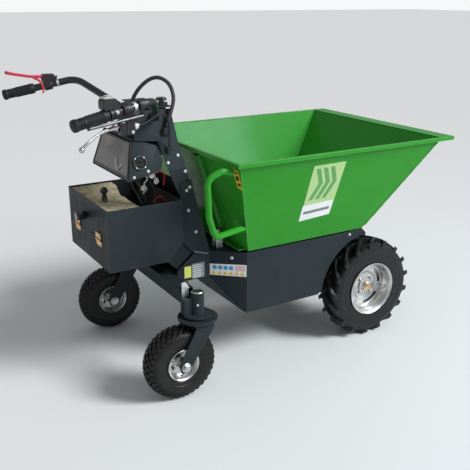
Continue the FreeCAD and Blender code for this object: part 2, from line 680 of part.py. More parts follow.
def make_drive():
    x = S.axle_forward
    z = S.wheel_tyre
    bore = S.shaft_radius + S.running_gap
    case = fuse(rod((x, -62, z), "y", 78, 124),
                rod((x, -S.carrier_side - 16, z), "y", S.axle_tube, S.carrier_side * 2 + 32))
    shaft_hole = rod((x, -S.carrier_side - 20, z), "y", bore, S.carrier_side * 2 + 40)
    node("transaxle_case", cut(case, shaft_hole))
    node("drive_motor", rod((x - 245, 0, z + 40), "x", 55, 165))

    hub = S.wheel_side
    for name, side in (("right", -1), ("left", 1)):
        shaft = rod((x, 2, z), "y", S.shaft_radius, hub + 18)
        flange = rod((x, hub - 8, z), "y", 55, 6)
        nuts = []
        for k in range(4):
            turn = math.radians(45 + 90 * k)
            nuts.append(rod((x + 38 * math.cos(turn), hub + 2, z + 38 * math.sin(turn)), "y", 8, 14))
        hub_nut = rod((x, hub + 18, z), "y", 17, 12)
        wheel_hub = fuse(shaft, flange, hub_nut, *nuts)
        rim_profile = [
            (hub - 50, S.flange_radius), (hub - 46, S.flange_radius), (hub - 44, S.bead_radius - 3),
            (hub - 24, S.bead_radius - 3), (hub - 18, S.barrel_radius), (hub + 18, S.barrel_radius),
            (hub + 24, S.bead_radius - 3), (hub + 48, S.bead_radius - 3),
            (hub + 50, S.flange_radius), (hub + 54, S.flange_radius),
            (hub + 54, S.bead_radius - 6), (hub + 26, S.bead_radius - 6),
            (hub + 20, S.barrel_radius - 3), (hub + 2, S.barrel_radius - 3), (hub + 2, 18),
            (hub - 2, 18), (hub - 2, S.barrel_radius - 3), (hub - 20, S.barrel_radius - 3),
            (hub - 26, S.bead_radius - 6), (hub - 50, S.bead_radius - 6)]
        tyre_profile = [
            (hub - 43.5, S.bead_radius - 2.5), (hub - 45, 109), (hub - 52, 122), (hub - S.tyre_half, 150),
            (hub - 48, 176), (hub - 38, S.wheel_tyre - 3), (hub, S.wheel_tyre),
            (hub + 38, S.wheel_tyre - 3), (hub + 48, 176), (hub + S.tyre_half, 150),
            (hub + 52, 122), (hub + 47.5, S.bead_radius - 2.5), (hub + 25, S.bead_radius - 2.5),
            (hub + 40, 150), (hub + 30, 178), (hub - 30, 178), (hub - 40, 150),
            (hub - 25, S.bead_radius - 2.5)]
        rim = turned(rim_profile)
        tyre = turned(tyre_profile)
        for body in (rim, tyre):
            place(body, (x, 0, z))
        for k in range(8):
            turn = math.radians(22.5 + 45 * k)
            rim = cut(rim, rod((x + 68 * math.cos(turn), hub - 5, z + 68 * math.sin(turn)), "y", 10, 10))
        if side < 0:
            wheel_hub, rim, tyre = mirrored(wheel_hub), mirrored(rim), mirrored(tyre)
        node("drive_shaft_" + name, wheel_hub)
        node("drive_rim_" + name, rim)
        node("drive_tyre_" + name, tyre)


# ---- rear beam and castors --------------------------------------------------------------------

def make_castors():
    half = S.beam_half
    size = S.beam_size
    low = (-S.beam_centre - size * 0.5, -half, S.beam_level - size * 0.5)
    high = (-S.beam_centre + size * 0.5, half, S.beam_level + size * 0.5)
    bore_low = (low[0] + 3, -half - 1, low[2] + 3)
    bore_high = (high[0] - 3, half + 1, high[2] - 3)
    node("rear_beam", cut(block(low, high), block(bore_low, bore_high)))

    x = -S.castor_back
    y = S.castor_side
    stem_bore = S.stem_radius + S.running_gap
    post = rod((x, y, S.flange_level), "z", S.post_radius, S.post_top - S.flange_level)
    flange = rod((x, y, S.flange_level), "z", 50, 6)
    lug = block((x - 50, S.beam_half, S.flange_level + 6), (x - 10, y + 4, S.post_top - 20))
    hole = rod((x, y, S.flange_level - 1), "z", stem_bore, S.post_top - S.flange_level + 2)
    end_plate = block((x - 46, S.beam_half, S.flange_level + 16),
                      (x - 20, S.beam_half + 3, S.post_top + 33))
    node("castor_posts", pair(cut(fuse(post, flange, lug, end_plate), hole)))

    cap = rod((x, y, S.post_top), "z", S.post_radius - 1, 7)
    node("post_caps", pair(cap))

    for name, side in (("right", -1), ("left", 1)):
        axle_x = x - S.castor_trail
        plate = rod((x, y, S.fork_level - S.fork_plate), "z", S.fork_disc, S.fork_plate)
        race = rod((x, y, S.fork_level), "z", 40, 5.6)
        stem = rod((x, y, S.fork_level), "z", S.stem_radius, S.post_top - S.fork_level - 4)
        arms = []
        for inner in (y - S.fork_side - S.fork_bar, y + S.fork_side):
            arms.append(slab("XZ_Plane", [
                (x - 26, S.fork_level - S.fork_plate), (axle_x - S.fork_width * 0.5, S.castor_tyre + 6),
                (axle_x - 17, S.castor_tyre - 18), (axle_x + 17, S.castor_tyre - 20),
                (axle_x + S.fork_width * 0.5, S.castor_tyre), (x + 32, S.fork_level - S.fork_plate - 22),
                (x + 36, S.fork_level - S.fork_plate)], inner, S.fork_bar))
        fork = fuse(plate, race, stem, *arms)
        reach = S.fork_side + S.fork_bar + 14
        axle = rod((axle_x, y - reach, S.castor_tyre), "y", S.castor_axle, reach * 2)
        nuts = [rod((axle_x, y - reach, S.castor_tyre), "y", 14, 10),
                rod((axle_x, y + reach - 10, S.castor_tyre), "y", 14, 10)]
        axle_set = fuse(axle, *nuts)
        fork = cut(fork, rod((axle_x, y - reach, S.castor_tyre), "y", S.castor_axle, reach * 2))
        bead = S.castor_bead
        rim = turned([
            (-40, bead + 4), (-37, bead + 4), (-35, bead), (35, bead), (37, bead + 4), (40, bead + 4),
            (40, bead - 4), (12, bead - 6), (8, 24), (40, 20), (40, S.castor_axle + S.running_gap),
            (-40, S.castor_axle + S.running_gap), (-40, 20), (-8, 24), (-12, bead - 6), (-40, bead - 4)])
        tyre = turned([
            (-34.5, bead + 0.5), (-40, 78), (-S.castor_half, 96), (-36, 116),
            (-24, S.castor_tyre - 2), (0, S.castor_tyre), (24, S.castor_tyre - 2), (36, 116),
            (S.castor_half, 96), (40, 78), (34.5, bead + 0.5), (20, bead + 0.5), (32, 90),
            (20, 114), (-20, 114), (-32, 90), (-20, bead + 0.5)])
        for body in (rim, tyre):
            place(body, (axle_x, y, S.castor_tyre))
        pieces = [fork, axle_set, rim, tyre]
        if side < 0:
            pieces = [mirrored(piece) for piece in pieces]
        for label, piece in zip(("castor_fork_", "castor_axle_", "castor_rim_", "castor_tyre_"), pieces):
            node(label + name, piece)


def make_latch():
    """The small lever on the deck that swings forward over the hopper's rear flange."""
    foot = S.deck_level
    cheek = block((-168, -166, foot), (-142, -162, foot + 34))
    other = block((-168, -142, foot), (-142, -138, foot + 34))
    pin = rod((-155, -170, foot + 24), "y", 4, 36)
    node("latch_bracket", fuse(cheek, other, pin))
    lever = fuse(rod((-155, -161, foot + 24), "y", 9, 18),
                 block((-161, -157, foot + 24), (-149, -147, foot + 68)))
    node("latch_lever", cut(lever, rod((-155, -170, foot + 24), "y", 4 + S.running_gap, 36)))


make_hopper()
make_chassis()
make_tail()
make_column()
make_console()
make_stop_button()
make_box()
make_handlebar()
make_cables()
make_drive()
make_castors()
make_latch()
doc.recompute()

failed = [o.Name for o in doc.Objects if "Invalid" in o.State or "Error" in o.State]
if failed:
    raise RuntimeError("objects did not recompute: %s" % failed)
for name, item in nodes.items():
    shape = item.Shape
    if shape.isNull() or not shape.isValid() or not shape.Solids:
        raise RuntimeError("bad shape in " + name)
for name, item in nodes.items():
    item.Shape.exportStep("parts/%s.step" % name)
print("%d nodes written" % len(nodes))
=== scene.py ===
import json
import math

import bmesh
import bpy
from mathutils import Matrix, Vector


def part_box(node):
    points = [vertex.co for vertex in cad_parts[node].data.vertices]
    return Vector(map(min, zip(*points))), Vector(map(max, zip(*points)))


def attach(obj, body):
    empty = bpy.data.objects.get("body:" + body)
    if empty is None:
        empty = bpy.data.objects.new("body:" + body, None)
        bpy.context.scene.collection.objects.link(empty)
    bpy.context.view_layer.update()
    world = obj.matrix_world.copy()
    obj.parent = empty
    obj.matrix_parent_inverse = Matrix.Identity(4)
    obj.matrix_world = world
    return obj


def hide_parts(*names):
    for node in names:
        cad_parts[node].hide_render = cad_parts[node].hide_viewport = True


# The looks of a walk-behind electric wheelbarrow.  Units are metres, +X points to the tipping
# lip, +Y to the operator's left, +Z up.

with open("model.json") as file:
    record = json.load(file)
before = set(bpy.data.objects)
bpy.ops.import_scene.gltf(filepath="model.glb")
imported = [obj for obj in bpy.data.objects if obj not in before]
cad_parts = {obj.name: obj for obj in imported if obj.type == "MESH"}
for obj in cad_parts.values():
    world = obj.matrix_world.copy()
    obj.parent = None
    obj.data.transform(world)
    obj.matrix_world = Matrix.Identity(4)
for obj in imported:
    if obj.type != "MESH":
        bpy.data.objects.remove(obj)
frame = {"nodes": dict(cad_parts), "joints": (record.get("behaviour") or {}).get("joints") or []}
nodes = frame["nodes"]
joints = {j["name"]: j for j in frame["joints"]}
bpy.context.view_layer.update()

X = Vector((1, 0, 0))
Y = Vector((0, 1, 0))
Z = Vector((0, 0, 1))


def joint_at(name):
    return Vector(joints[name]["pos_m"])


def flipped(point, side):
    """The point itself for side 1, its mirror image across the machine for side -1."""
    return Vector((point[0], point[1] * side, point[2]))


# ---- materials --------------------------------------------------------------------------------

EDGE_REACH = 0.003


class Look:
    """A node material: one shader with its own sockets set, and textures added one by one."""

    def __init__(self, name, colour, roughness, metallic=0.0, coat=0.0, specular=0.5):
        self.material = bpy.data.materials.new(name)
        self.material.use_nodes = True
        self.tree = self.material.node_tree
        self.shader = self.tree.nodes["Principled BSDF"]
        self.colour = (*colour, 1.0)
        for socket, value in (("Base Color", self.colour), ("Roughness", roughness),
                              ("Metallic", metallic), ("Coat Weight", coat),
                              ("Coat Roughness", 0.12), ("Specular IOR Level", specular)):
            self.shader.inputs[socket].default_value = value
        self.place = self.add("ShaderNodeTexCoord").outputs["Object"]
        self.top_colour = None
        self.top_normal = None

    def add(self, kind, **settings):
        made = self.tree.nodes.new(kind)
        for name, value in settings.items():
            if name in made.inputs:
                made.inputs[name].default_value = value
            else:
                setattr(made, name, value)
        return made

    def link(self, source, target):
        self.tree.links.new(source, target)

    def noise(self, scale, detail=4.0, stretch=None):
        """A noise factor of a given scale, longer along an axis where stretch says so."""
        made = self.add("ShaderNodeTexNoise", Scale=scale, Detail=detail)
        place = self.place
        if stretch:
            mapping = self.add("ShaderNodeMapping", Scale=stretch)
            self.link(place, mapping.inputs["Vector"])
            place = mapping.outputs["Vector"]
        self.link(place, made.inputs["Vector"])
        return made.outputs["Fac"]

    def ramp(self, factor, low, high, start=0.0, end=1.0):
        made = self.add("ShaderNodeMapRange")
        for socket, value in (("From Min", low), ("From Max", high), ("To Min", start),
                              ("To Max", end)):
            made.inputs[socket].default_value = value
        self.link(factor, made.inputs["Value"])
        return made.outputs["Result"]

    def blob(self, centre, reach, amount):
        """A ragged patch round a point of the machine: strongest in the middle."""
        mapping = self.add("ShaderNodeMapping")
        mapping.inputs["Scale"].default_value = [1 / r for r in reach]
        mapping.inputs["Location"].default_value = [-c / r for c, r in zip(centre, reach)]
        self.link(self.place, mapping.inputs["Vector"])
        ball = self.add("ShaderNodeTexGradient", gradient_type="SPHERICAL")
        self.link(mapping.outputs["Vector"], ball.inputs["Vector"])
        ragged = self.add("ShaderNodeMath", operation="MULTIPLY")
        self.link(self.ramp(ball.outputs["Fac"], 0.05, 0.5, 0.0, amount), ragged.inputs[0])
        self.link(self.ramp(self.noise(75, 8), 0.40, 0.56, 0.25, 1.0), ragged.inputs[1])
        return ragged.outputs["Value"]

    def tint(self, colour, factor):
        """Mix another colour over what is there, by a factor that varies over the surface."""
        mix = self.add("ShaderNodeMix", data_type="RGBA")
        self.link(factor, mix.inputs["Factor"])
        if self.top_colour:
            self.link(self.top_colour, mix.inputs[6])
        else:
            mix.inputs[6].default_value = self.colour
        mix.inputs[7].default_value = (*colour, 1.0)
        self.top_colour = mix.outputs[2]
        self.link(self.top_colour, self.shader.inputs["Base Color"])
        return self

    def bump(self, height, strength, depth):
        made = self.add("ShaderNodeBump", Strength=strength, Distance=depth)
        self.link(height, made.inputs["Height"])
        if self.top_normal:
            self.link(self.top_normal, made.inputs["Normal"])
        self.top_normal = made.outputs["Normal"]
        self.link(self.top_normal, self.shader.inputs["Normal"])
        return self

    def uneven(self, scale, low, high):
        """Roughness that wanders between two values."""
        self.link(self.ramp(self.noise(scale), 0.3, 0.7, low, high), self.shader.inputs["Roughness"])
        return self

    def edges(self, colour, amount):
        """A patchy band of another colour along the edges: worn paint on most coats, a painted
        highlight on the green coat.
        """
        soft = self.add("ShaderNodeBevel", samples=4, Radius=EDGE_REACH)
        plain = self.add("ShaderNodeNewGeometry")
        dot = self.add("ShaderNodeVectorMath", operation="DOT_PRODUCT")
        self.link(soft.outputs["Normal"], dot.inputs[0])
        self.link(plain.outputs["Normal"], dot.inputs[1])
        # The band's colour is worn paint, and on the green coat a painted highlight.
        edge_band = self.ramp(dot.outputs["Value"], 0.985, 0.86)
        patchy = self.add("ShaderNodeMath", operation="MULTIPLY")
        self.link(edge_band, patchy.inputs[0])
        self.link(self.ramp(self.noise(60), 0.38, 0.62, 0.15 * amount, amount), patchy.inputs[1])
        return self.tint(colour, patchy.outputs["Value"])


def paint(name, colour, pale, dark, roughness=0.35, coat=0.3, edge=None, peel=0.25, gleam=0.5):
    """Powder coat: orange peel, slow colour drift, fine specks and an edge band that is worn paint,
    and on the green coat a painted highlight.
    """
    look = Look(name, colour, roughness, coat=coat, specular=gleam)
    look.tint(pale, look.ramp(look.noise(3.5), 0.45, 0.8, 0.0, 0.5))
    look.tint(dark, look.ramp(look.noise(9, 6), 0.5, 0.85, 0.0, 0.55))
    look.uneven(25, roughness - 0.06, roughness + 0.1)
    look.bump(look.noise(700, 2), peel, 0.0004)
    # The edge colour is worn paint, and on the green coat a painted highlight.
    if edge:
        look.edges(edge, 0.55)
    return look.material


def rubber(name, colour, dusty, roughness=0.75):
    """Tyre and grip rubber with dust in its low places."""
    look = Look(name, colour, roughness, specular=0.35)
    look.tint(dusty, look.ramp(look.noise(14, 8), 0.45, 0.8, 0.0, 0.6))
    look.tint(dusty, look.ramp(look.noise(90, 5), 0.55, 0.8, 0.0, 0.4))
    look.uneven(40, roughness - 0.12, roughness + 0.1)
    look.bump(look.noise(500, 3), 0.3, 0.0006)
    return look.material


def metal(name, colour, stained, roughness=0.3, stretch=None, grain=0.15):
    """Bare or plated metal with fine turning or brushing marks."""
    look = Look(name, colour, roughness, metallic=1.0)
    look.tint(stained, look.ramp(look.noise(22, 6), 0.45, 0.75, 0.0, 0.7))
    look.uneven(60, roughness - 0.08, roughness + 0.15)
    look.bump(look.noise(350, 3, stretch), grain, 0.0004)
    return look.material


def plastic(name, colour, pale, roughness=0.45, coat=0.0, grain=0.2):
    """Moulded plastic with a fine leather-like grain."""
    look = Look(name, colour, roughness, coat=coat)
    look.tint(pale, look.ramp(look.noise(18, 5), 0.5, 0.8, 0.0, 0.5))
    look.uneven(35, roughness - 0.08, roughness + 0.1)
    look.bump(look.noise(900, 2), grain, 0.0003)
    return look.material


def wrapping(name, colour, painted_crease_shade, painted_highlight):
    """Crumpled packing board round the battery, with painted shade for its creases and paler patches
    as painted highlights.
    """
    look = Look(name, colour, 0.8, specular=0.25)
    # Painted shade: dark brown in a noise pattern standing for the creases.
    look.tint(painted_crease_shade, look.ramp(look.noise(45, 8), 0.48, 0.7, 0.0, 0.8))
    # Painted highlights: paler beige patches.
    look.tint(painted_highlight, look.ramp(look.noise(12, 4), 0.55, 0.8, 0.0, 0.5))
    look.bump(look.noise(60, 9), 0.8, 0.003)
    look.bump(look.noise(260, 3, (1, 4, 1)), 0.4, 0.001)
    return look.material


def braid(name, colour, pale):
    """A woven sleeve: crossing bands run round the hose."""
    look = Look(name, colour, 0.5)
    bands = look.add("ShaderNodeTexWave", Scale=180.0, Distortion=2.0)
    look.link(look.place, bands.inputs["Vector"])
    look.tint(pale, look.ramp(bands.outputs["Fac"], 0.55, 1.0, 0.0, 0.4))
    look.bump(bands.outputs["Fac"], 0.4, 0.0008)
    look.uneven(50, 0.4, 0.6)
    return look.material


def print_ink(name, colour, faded):
    """Printed vinyl, slightly faded in patches."""
    look = Look(name, colour, 0.4, coat=0.15)
    look.tint(faded, look.ramp(look.noise(40, 5), 0.45, 0.75, 0.0, 0.4))
    look.uneven(60, 0.3, 0.5)
    look.bump(look.noise(500, 2), 0.1, 0.0002)
    return look.material


# The pale green-white edge colour is a painted highlight along the green edges, such as the rim's top
# edge.
GREEN = paint("green_coat", (0.028, 0.275, 0.020), (0.036, 0.315, 0.028), (0.020, 0.225, 0.014),
              0.30, 0.14, (0.60, 0.84, 0.58), 0.2, 0.10)
DARK = paint("anthracite_coat", (0.026, 0.034, 0.039), (0.034, 0.042, 0.047),
             (0.017, 0.023, 0.027), 0.42, 0.0, (0.11, 0.12, 0.125), 0.35, 0.08)
BLACK_PAINT = paint("black_coat", (0.008, 0.009, 0.011), (0.016, 0.017, 0.019),
                    (0.005, 0.005, 0.006), 0.34, 0.25, (0.10, 0.10, 0.105), 0.3)
RED_PAINT = paint("red_coat", (0.62, 0.02, 0.06), (0.70, 0.05, 0.09), (0.42, 0.012, 0.035),
                  0.35, 0.4, (0.8, 0.35, 0.38))
TYRE = rubber("tyre_rubber", (0.0070, 0.0074, 0.0074), (0.018, 0.019, 0.019), 0.42)
CASTOR_TYRE = rubber("castor_rubber", (0.0075, 0.0070, 0.0066), (0.024, 0.021, 0.018), 0.44)
GRIP = rubber("grip_rubber", (0.010, 0.010, 0.011), (0.028, 0.028, 0.028), 0.55)
RIM = metal("rim_silver", (0.66, 0.66, 0.65), (0.42, 0.40, 0.37), 0.33)
STEEL = metal("turned_steel", (0.62, 0.62, 0.61), (0.38, 0.37, 0.35), 0.28)
ZINC = metal("zinc_plate", (0.70, 0.72, 0.73), (0.52, 0.55, 0.56), 0.42, (1, 6, 1), 0.25)
BRASS = metal("brass", (0.78, 0.52, 0.22), (0.42, 0.25, 0.08), 0.3)
CASTING = metal("rough_casting", (0.18, 0.18, 0.18), (0.09, 0.085, 0.08), 0.6, None, 0.6)
BOLT = paint("white_bolt", (0.62, 0.64, 0.65), (0.74, 0.75, 0.76), (0.35, 0.36, 0.37), 0.35, 0.2)
PALE_CAP = plastic("pale_cap", (0.52, 0.51, 0.46), (0.66, 0.65, 0.60), 0.4)
DARK_RED = paint("dark_red_coat", (0.10, 0.014, 0.018), (0.14, 0.02, 0.025), (0.06, 0.01, 0.012))
BLACK = plastic("black_plastic", (0.012, 0.012, 0.013), (0.03, 0.03, 0.031), 0.42)
BALL = plastic("black_ball", (0.008, 0.008, 0.009), (0.014, 0.014, 0.015), 0.16, 0.6, 0.02)
WHITE = plastic("white_plastic", (0.72, 0.72, 0.70), (0.8, 0.8, 0.79), 0.4)
RED_WIRE = plastic("red_wire", (0.60, 0.018, 0.03), (0.72, 0.05, 0.05), 0.35, 0.2)
TAN = wrapping("packing_board", (0.50, 0.43, 0.29), (0.20, 0.165, 0.10), (0.68, 0.60, 0.43))
SLEEVE = braid("hose_sleeve", (0.011, 0.011, 0.012), (0.035, 0.035, 0.037))
INK = {
    "pale_green": print_ink("ink_pale_green", (0.42, 0.62, 0.25), (0.50, 0.68, 0.33)),
    "mid_green": print_ink("ink_mid_green", (0.10, 0.33, 0.08), (0.14, 0.38, 0.11)),
    "white": print_ink("ink_white", (0.82, 0.83, 0.82), (0.72, 0.73, 0.72)),
    "yellow": print_ink("ink_yellow", (0.80, 0.55, 0.02), (0.86, 0.63, 0.08)),
    "lime": print_ink("ink_lime", (0.66, 0.74, 0.12), (0.72, 0.78, 0.22)),
    "blue": print_ink("ink_blue", (0.03, 0.33, 0.62), (0.08, 0.40, 0.66)),
    "pink": print_ink("ink_pink", (0.78, 0.48, 0.52), (0.82, 0.56, 0.58)),
    "grey": print_ink("ink_grey", (0.20, 0.20, 0.20), (0.28, 0.28, 0.28)),
    "black": print_ink("ink_black", (0.02, 0.02, 0.02), (0.04, 0.04, 0.04)),
}


def gloss_panel():
    """Polished brown-black sheet behind the wiring, with cloudy marks and patches painted in as its
    reflections.
    """
    look = Look("gloss_panel", (0.052, 0.044, 0.036), 0.2, coat=0.5)
    # Painted reflections: paler cloudy marks all over, a pale beige patch up top, a near-black patch
    # in the middle and a paler streak towards the machine's right side.
    look.tint((0.11, 0.094, 0.074), look.ramp(look.noise(16, 7), 0.5, 0.72, 0.0, 0.7))
    look.tint((0.22, 0.185, 0.13), look.blob((-0.475, 0.045, 0.850), (0.2, 0.10, 0.030), 0.75))
    look.tint((0.008, 0.007, 0.006), look.blob((-0.480, -0.020, 0.826), (0.2, 0.075, 0.036), 0.95))
    look.tint((0.16, 0.14, 0.11), look.blob((-0.480, -0.100, 0.836), (0.2, 0.030, 0.040), 0.5))
    look.uneven(28, 0.14, 0.34)
    look.bump(look.noise(35, 6), 0.12, 0.002)
    return look.material


GLOSS = gloss_panel()


# ---- mesh building ----------------------------------------------------------------------------

def axes_of(direction):
    """Two directions square to a third."""
    w = Vector(direction).normalized()
    u = w.cross(Z if abs(w.z) < 0.9 else X).normalized()
    return u, w.cross(u), w


def ring(bm, centre, direction, radius, sides):
    u, v, _ = axes_of(direction)
    if radius < 1e-6:
        return [bm.verts.new(centre)]
    turns = [math.tau * k / sides for k in range(sides)]
    return [bm.verts.new(centre + u * math.cos(a) * radius + v * math.sin(a) * radius)
            for a in turns]


def join_rings(bm, first, second):
    if len(first) == 1 and len(second) == 1:
        return
    count = max(len(first), len(second))
    for k in range(count):
        following = (k + 1) % count
        if len(first) == 1:
            corners = [first[0], second[following], second[k]]
        elif len(second) == 1:
            corners = [first[k], first[following], second[0]]
        else:
            corners = [first[k], first[following], second[following], second[k]]
        bm.faces.new(corners)


def loft(bm, rings, closed=False):
    """Skin between rings of points; the ends are closed unless the skin is a loop."""
    for first, second in zip(rings, rings[1:]):
        join_rings(bm, first, second)
    if closed:
        join_rings(bm, rings[-1], rings[0])
    else:
        for end in (rings[0], rings[-1]):
            if len(end) > 2:
                bm.faces.new(end)


def turned(bm, centre, direction, profile, sides=48, closed=False):
    """A turned shape: its profile is (distance along the axis, radius)."""
    _, _, w = axes_of(direction)
    rings = [ring(bm, Vector(centre) + w * along, direction, radius, sides)
             for along, radius in profile]
    loft(bm, rings, closed)


def rounded(start, end, steps=4):
    """Profile points of a quarter-round from one (along, radius) to another, bulging outwards."""
    (a0, r0), (a1, r1) = start, end
    made = []
    for k in range(steps + 1):
        turn = math.pi / 2 * k / steps
        made.append((a0 + (a1 - a0) * (1 - math.cos(turn)), r0 + (r1 - r0) * math.sin(turn)))
    return made


def smooth_path(points, steps=8):
    """A smooth run through points."""
    path = [Vector(p) for p in points]
    ends = [path[0] * 2 - path[1]] + path + [path[-1] * 2 - path[-2]]
    made = []
    for p0, p1, p2, p3 in zip(ends, ends[1:], ends[2:], ends[3:]):
        for k in range(steps):
            t = k / steps
            made.append(0.5 * (p1 * 2 + (p2 - p0) * t + (p0 * 2 - p1 * 5 + p2 * 4 - p3) * t * t
                               + (p1 * 3 - p0 - p2 * 3 + p3) * t ** 3))
    return made + [path[-1]]


def swept(bm, path, section, side=None):
    """A bar along a path: section(t) gives the outline's (across, up) points at 0 .. 1."""
    rings = []
    last = len(path) - 1
    across = Vector(side) if side else axes_of(path[1] - path[0])[0]
    for k, point in enumerate(path):
        along = (path[min(k + 1, last)] - path[max(k - 1, 0)]).normalized()
        across = (across - along * across.dot(along)).normalized()
        up = along.cross(across)
        rings.append([bm.verts.new(point + across * a + up * b) for a, b in section(k / last)])
    loft(bm, rings)


def oval(width, height, sides=12):
    return [(width * math.cos(math.tau * k / sides), height * math.sin(math.tau * k / sides))
            for k in range(sides)]


def prism(bm, corners, thickness):
    """A plate: corners in space, pushed along a vector."""
    base = [Vector(c) for c in corners]
    low = [bm.verts.new(c) for c in base]
    high = [bm.verts.new(c + Vector(thickness)) for c in base]
    bm.faces.new(low)
    bm.faces.new(high)
    join_rings(bm, low, high)


def pellet(bm, centre, direction, radius, height, sides=24):
    """A plain short cylinder."""
    turned(bm, centre, direction, [(0, 0), (0, radius), (height, radius), (height, 0)], sides)


def brick(bm, low, high):
    (x0, y0, z0), (x1, y1, z1) = low, high
    prism(bm, [(x0, y0, z0), (x1, y0, z0), (x1, y1, z0), (x0, y1, z0)], (0, 0, z1 - z0))


def sphere(bm, centre, radius, squeeze=1.0, sides=28):
    profile = [(-radius * squeeze * math.cos(math.pi * k / 14), radius * math.sin(math.pi * k / 14))
               for k in range(15)]
    turned(bm, centre, Z, profile, sides)


def hex_nut(bm, centre, direction, across, height):
    """A chamfered hexagon nut."""
    corner = across / math.sqrt(3)
    profile = [(0, corner * 0.93), (height * 0.12, corner), (height * 0.85, corner),
               (height, corner * 0.9), (height, 0)]
    turned(bm, centre, direction, [(0, 0)] + profile, 6)


def dome_bolt(bm, centre, direction, radius, height):
    """A washer with a domed head on it."""
    washer = [(0, 0), (0, radius * 1.25), (height * 0.25, radius * 1.25), (height * 0.25, radius)]
    crown = rounded((height, 0), (height * 0.3, radius), 5)[::-1]
    turned(bm, centre, direction, washer + crown, 20)


def piece(name, bm, look, body, replaces=(), bevel=0.0, angle=35, smooth=True):
    """Turn a built mesh into a piece that rides on a body."""
    bmesh.ops.remove_doubles(bm, verts=bm.verts, dist=1e-6)
    bmesh.ops.recalc_face_normals(bm, faces=bm.faces)
    mesh = bpy.data.meshes.new(name)
    bm.to_mesh(mesh)
    bm.free()
    made = bpy.data.objects.new(name, mesh)
    bpy.context.scene.collection.objects.link(made)
    mesh.materials.append(look)
    finish_edges(made, bevel, angle, smooth)
    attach(made, body)
    if replaces:
        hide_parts(*replaces)
    return made


def finish_edges(thing, bevel, angle=35, smooth=True):
    if smooth:
        thing.data.polygons.foreach_set("use_smooth", [True] * len(thing.data.polygons))
        thing.data.set_sharp_from_angle(angle=math.radians(angle))
    if bevel:
        rounding = thing.modifiers.new("rounded_edges", "BEVEL")
        rounding.width = bevel
        rounding.segments = 2
        rounding.limit_method = "ANGLE"
        rounding.angle_limit = math.radians(angle)
        rounding.harden_normals = True
        rounding.use_clamp_overlap = True


# ---- the CAD nodes that stay ---------------------------------------------------------------------

STAYING = {
    "hopper_shell": (GREEN, 0.0012), "hopper_rim": (GREEN, 0.0014),
    "hopper_handle": (GREEN, 0.0), "hopper_brackets": (GREEN, 0.0008),
    "chassis_side_left": (DARK, 0.001), "chassis_side_right": (DARK, 0.001),
    "chassis_floor": (DARK, 0.0008), "chassis_deck": (DARK, 0.0008), "axle_frame": (DARK, 0.0008),
    "tail_panels": (DARK, 0.0008), "column_base": (DARK, 0.0012), "column_plates": (DARK, 0.0012),
    "column_arms": (DARK, 0.0012), "column_lid": (DARK, 0.001), "rear_beam": (DARK, 0.002),
    "castor_fork_left": (DARK, 0.0012), "castor_fork_right": (DARK, 0.0012),
    "castor_posts": (DARK, 0.0008), "battery_box": (DARK, 0.001), "box_flap": (DARK, 0.0008),
    "console_housing": (DARK, 0.0016), "console_panel": (GLOSS, 0.0006),
    "handlebar": (BLACK_PAINT, 0.0), "transaxle_case": (CASTING, 0.0015),
    "drive_motor": (BLACK_PAINT, 0.003), "motor_controller": (BLACK, 0.002),
    "traction_batteries": (WHITE, 0.003), "deck_buffers": (GRIP, 0.0012),
    "hopper_pivot_pins": (STEEL, 0.0008), "latch_bracket": (ZINC, 0.0005),
    "latch_lever": (STEEL, 0.0008), "brake_perch": (BLACK, 0.0012),
    "parking_perch": (BLACK, 0.0012), "bail_lever": (BLACK_PAINT, 0.0),
    "selector_lever": (BALL, 0.0), "stop_button": (BALL, 0.003), "flap_knob": (BLACK, 0.003),
    "charging_socket": (BLACK, 0.001), "post_caps": (STEEL, 0.0),
}
for name, (look, bevel) in STAYING.items():
    thing = nodes[name]
    thing.data.materials.clear()
    thing.data.materials.append(look)
    if bevel:
        joined = thing.modifiers.new("joined_faces", "WELD")
        joined.merge_threshold = 0.00002
        finish_edges(thing, bevel, 32, smooth=False)


# ---- drive wheels -----------------------------------------------------------------------------

DRIVE_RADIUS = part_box("drive_tyre_right")[1].z - joint_at("drive_spin_right").z
DRIVE_HALF = (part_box("drive_tyre_right")[1].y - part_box("drive_tyre_right")[0].y) / 2
LUGS = 17
LUG_HEIGHT = 0.015
LUG_LEAD = math.radians(19.44)


def tread_radius(reach):
    """The carcass radius at a distance from the tyre's middle."""
    share = min(abs(reach) / DRIVE_HALF, 1.0)
    return DRIVE_RADIUS - LUG_HEIGHT - 0.004 * share ** 2 - 0.020 * max(0.0, share - 0.72) ** 1.2


def drive_tyre(name, centre, body):
    bm = bmesh.new()
    half = DRIVE_HALF
    crown = [(half * s, tread_radius(half * s)) for s in (0, 0.25, 0.5, 0.7, 0.82)]
    wall = [(half * 0.93, 0.1765), (half * 0.985, 0.168), (half, 0.156), (half * 0.995, 0.146),
            (half * 0.97, 0.138), (half * 0.985, 0.1355), (half * 0.975, 0.130),
            (half * 0.95, 0.122), (half * 0.965, 0.1195), (half * 0.945, 0.115),
            (half * 0.90, 0.110), (half * 0.91, 0.1075), (half * 0.84, 0.1035),
            (half * 0.55, 0.101)]
    outer = crown + wall
    inner = [(half * 0.55, 0.106), (half * 0.85, 0.150), (half * 0.6, 0.172), (0, 0.174)]
    loop = outer + inner
    loop += [(-y, r) for y, r in loop[::-1] if y > 0]
    turned(bm, centre, Y, loop, 96, closed=True)
    for k in range(LUGS):
        for side in (-1, 1):
            start = math.tau * (k + (0.5 if side > 0 else 0)) / LUGS
            lug(bm, centre, side, start)
    piece(name, bm, TYRE, body, [name], angle=28)


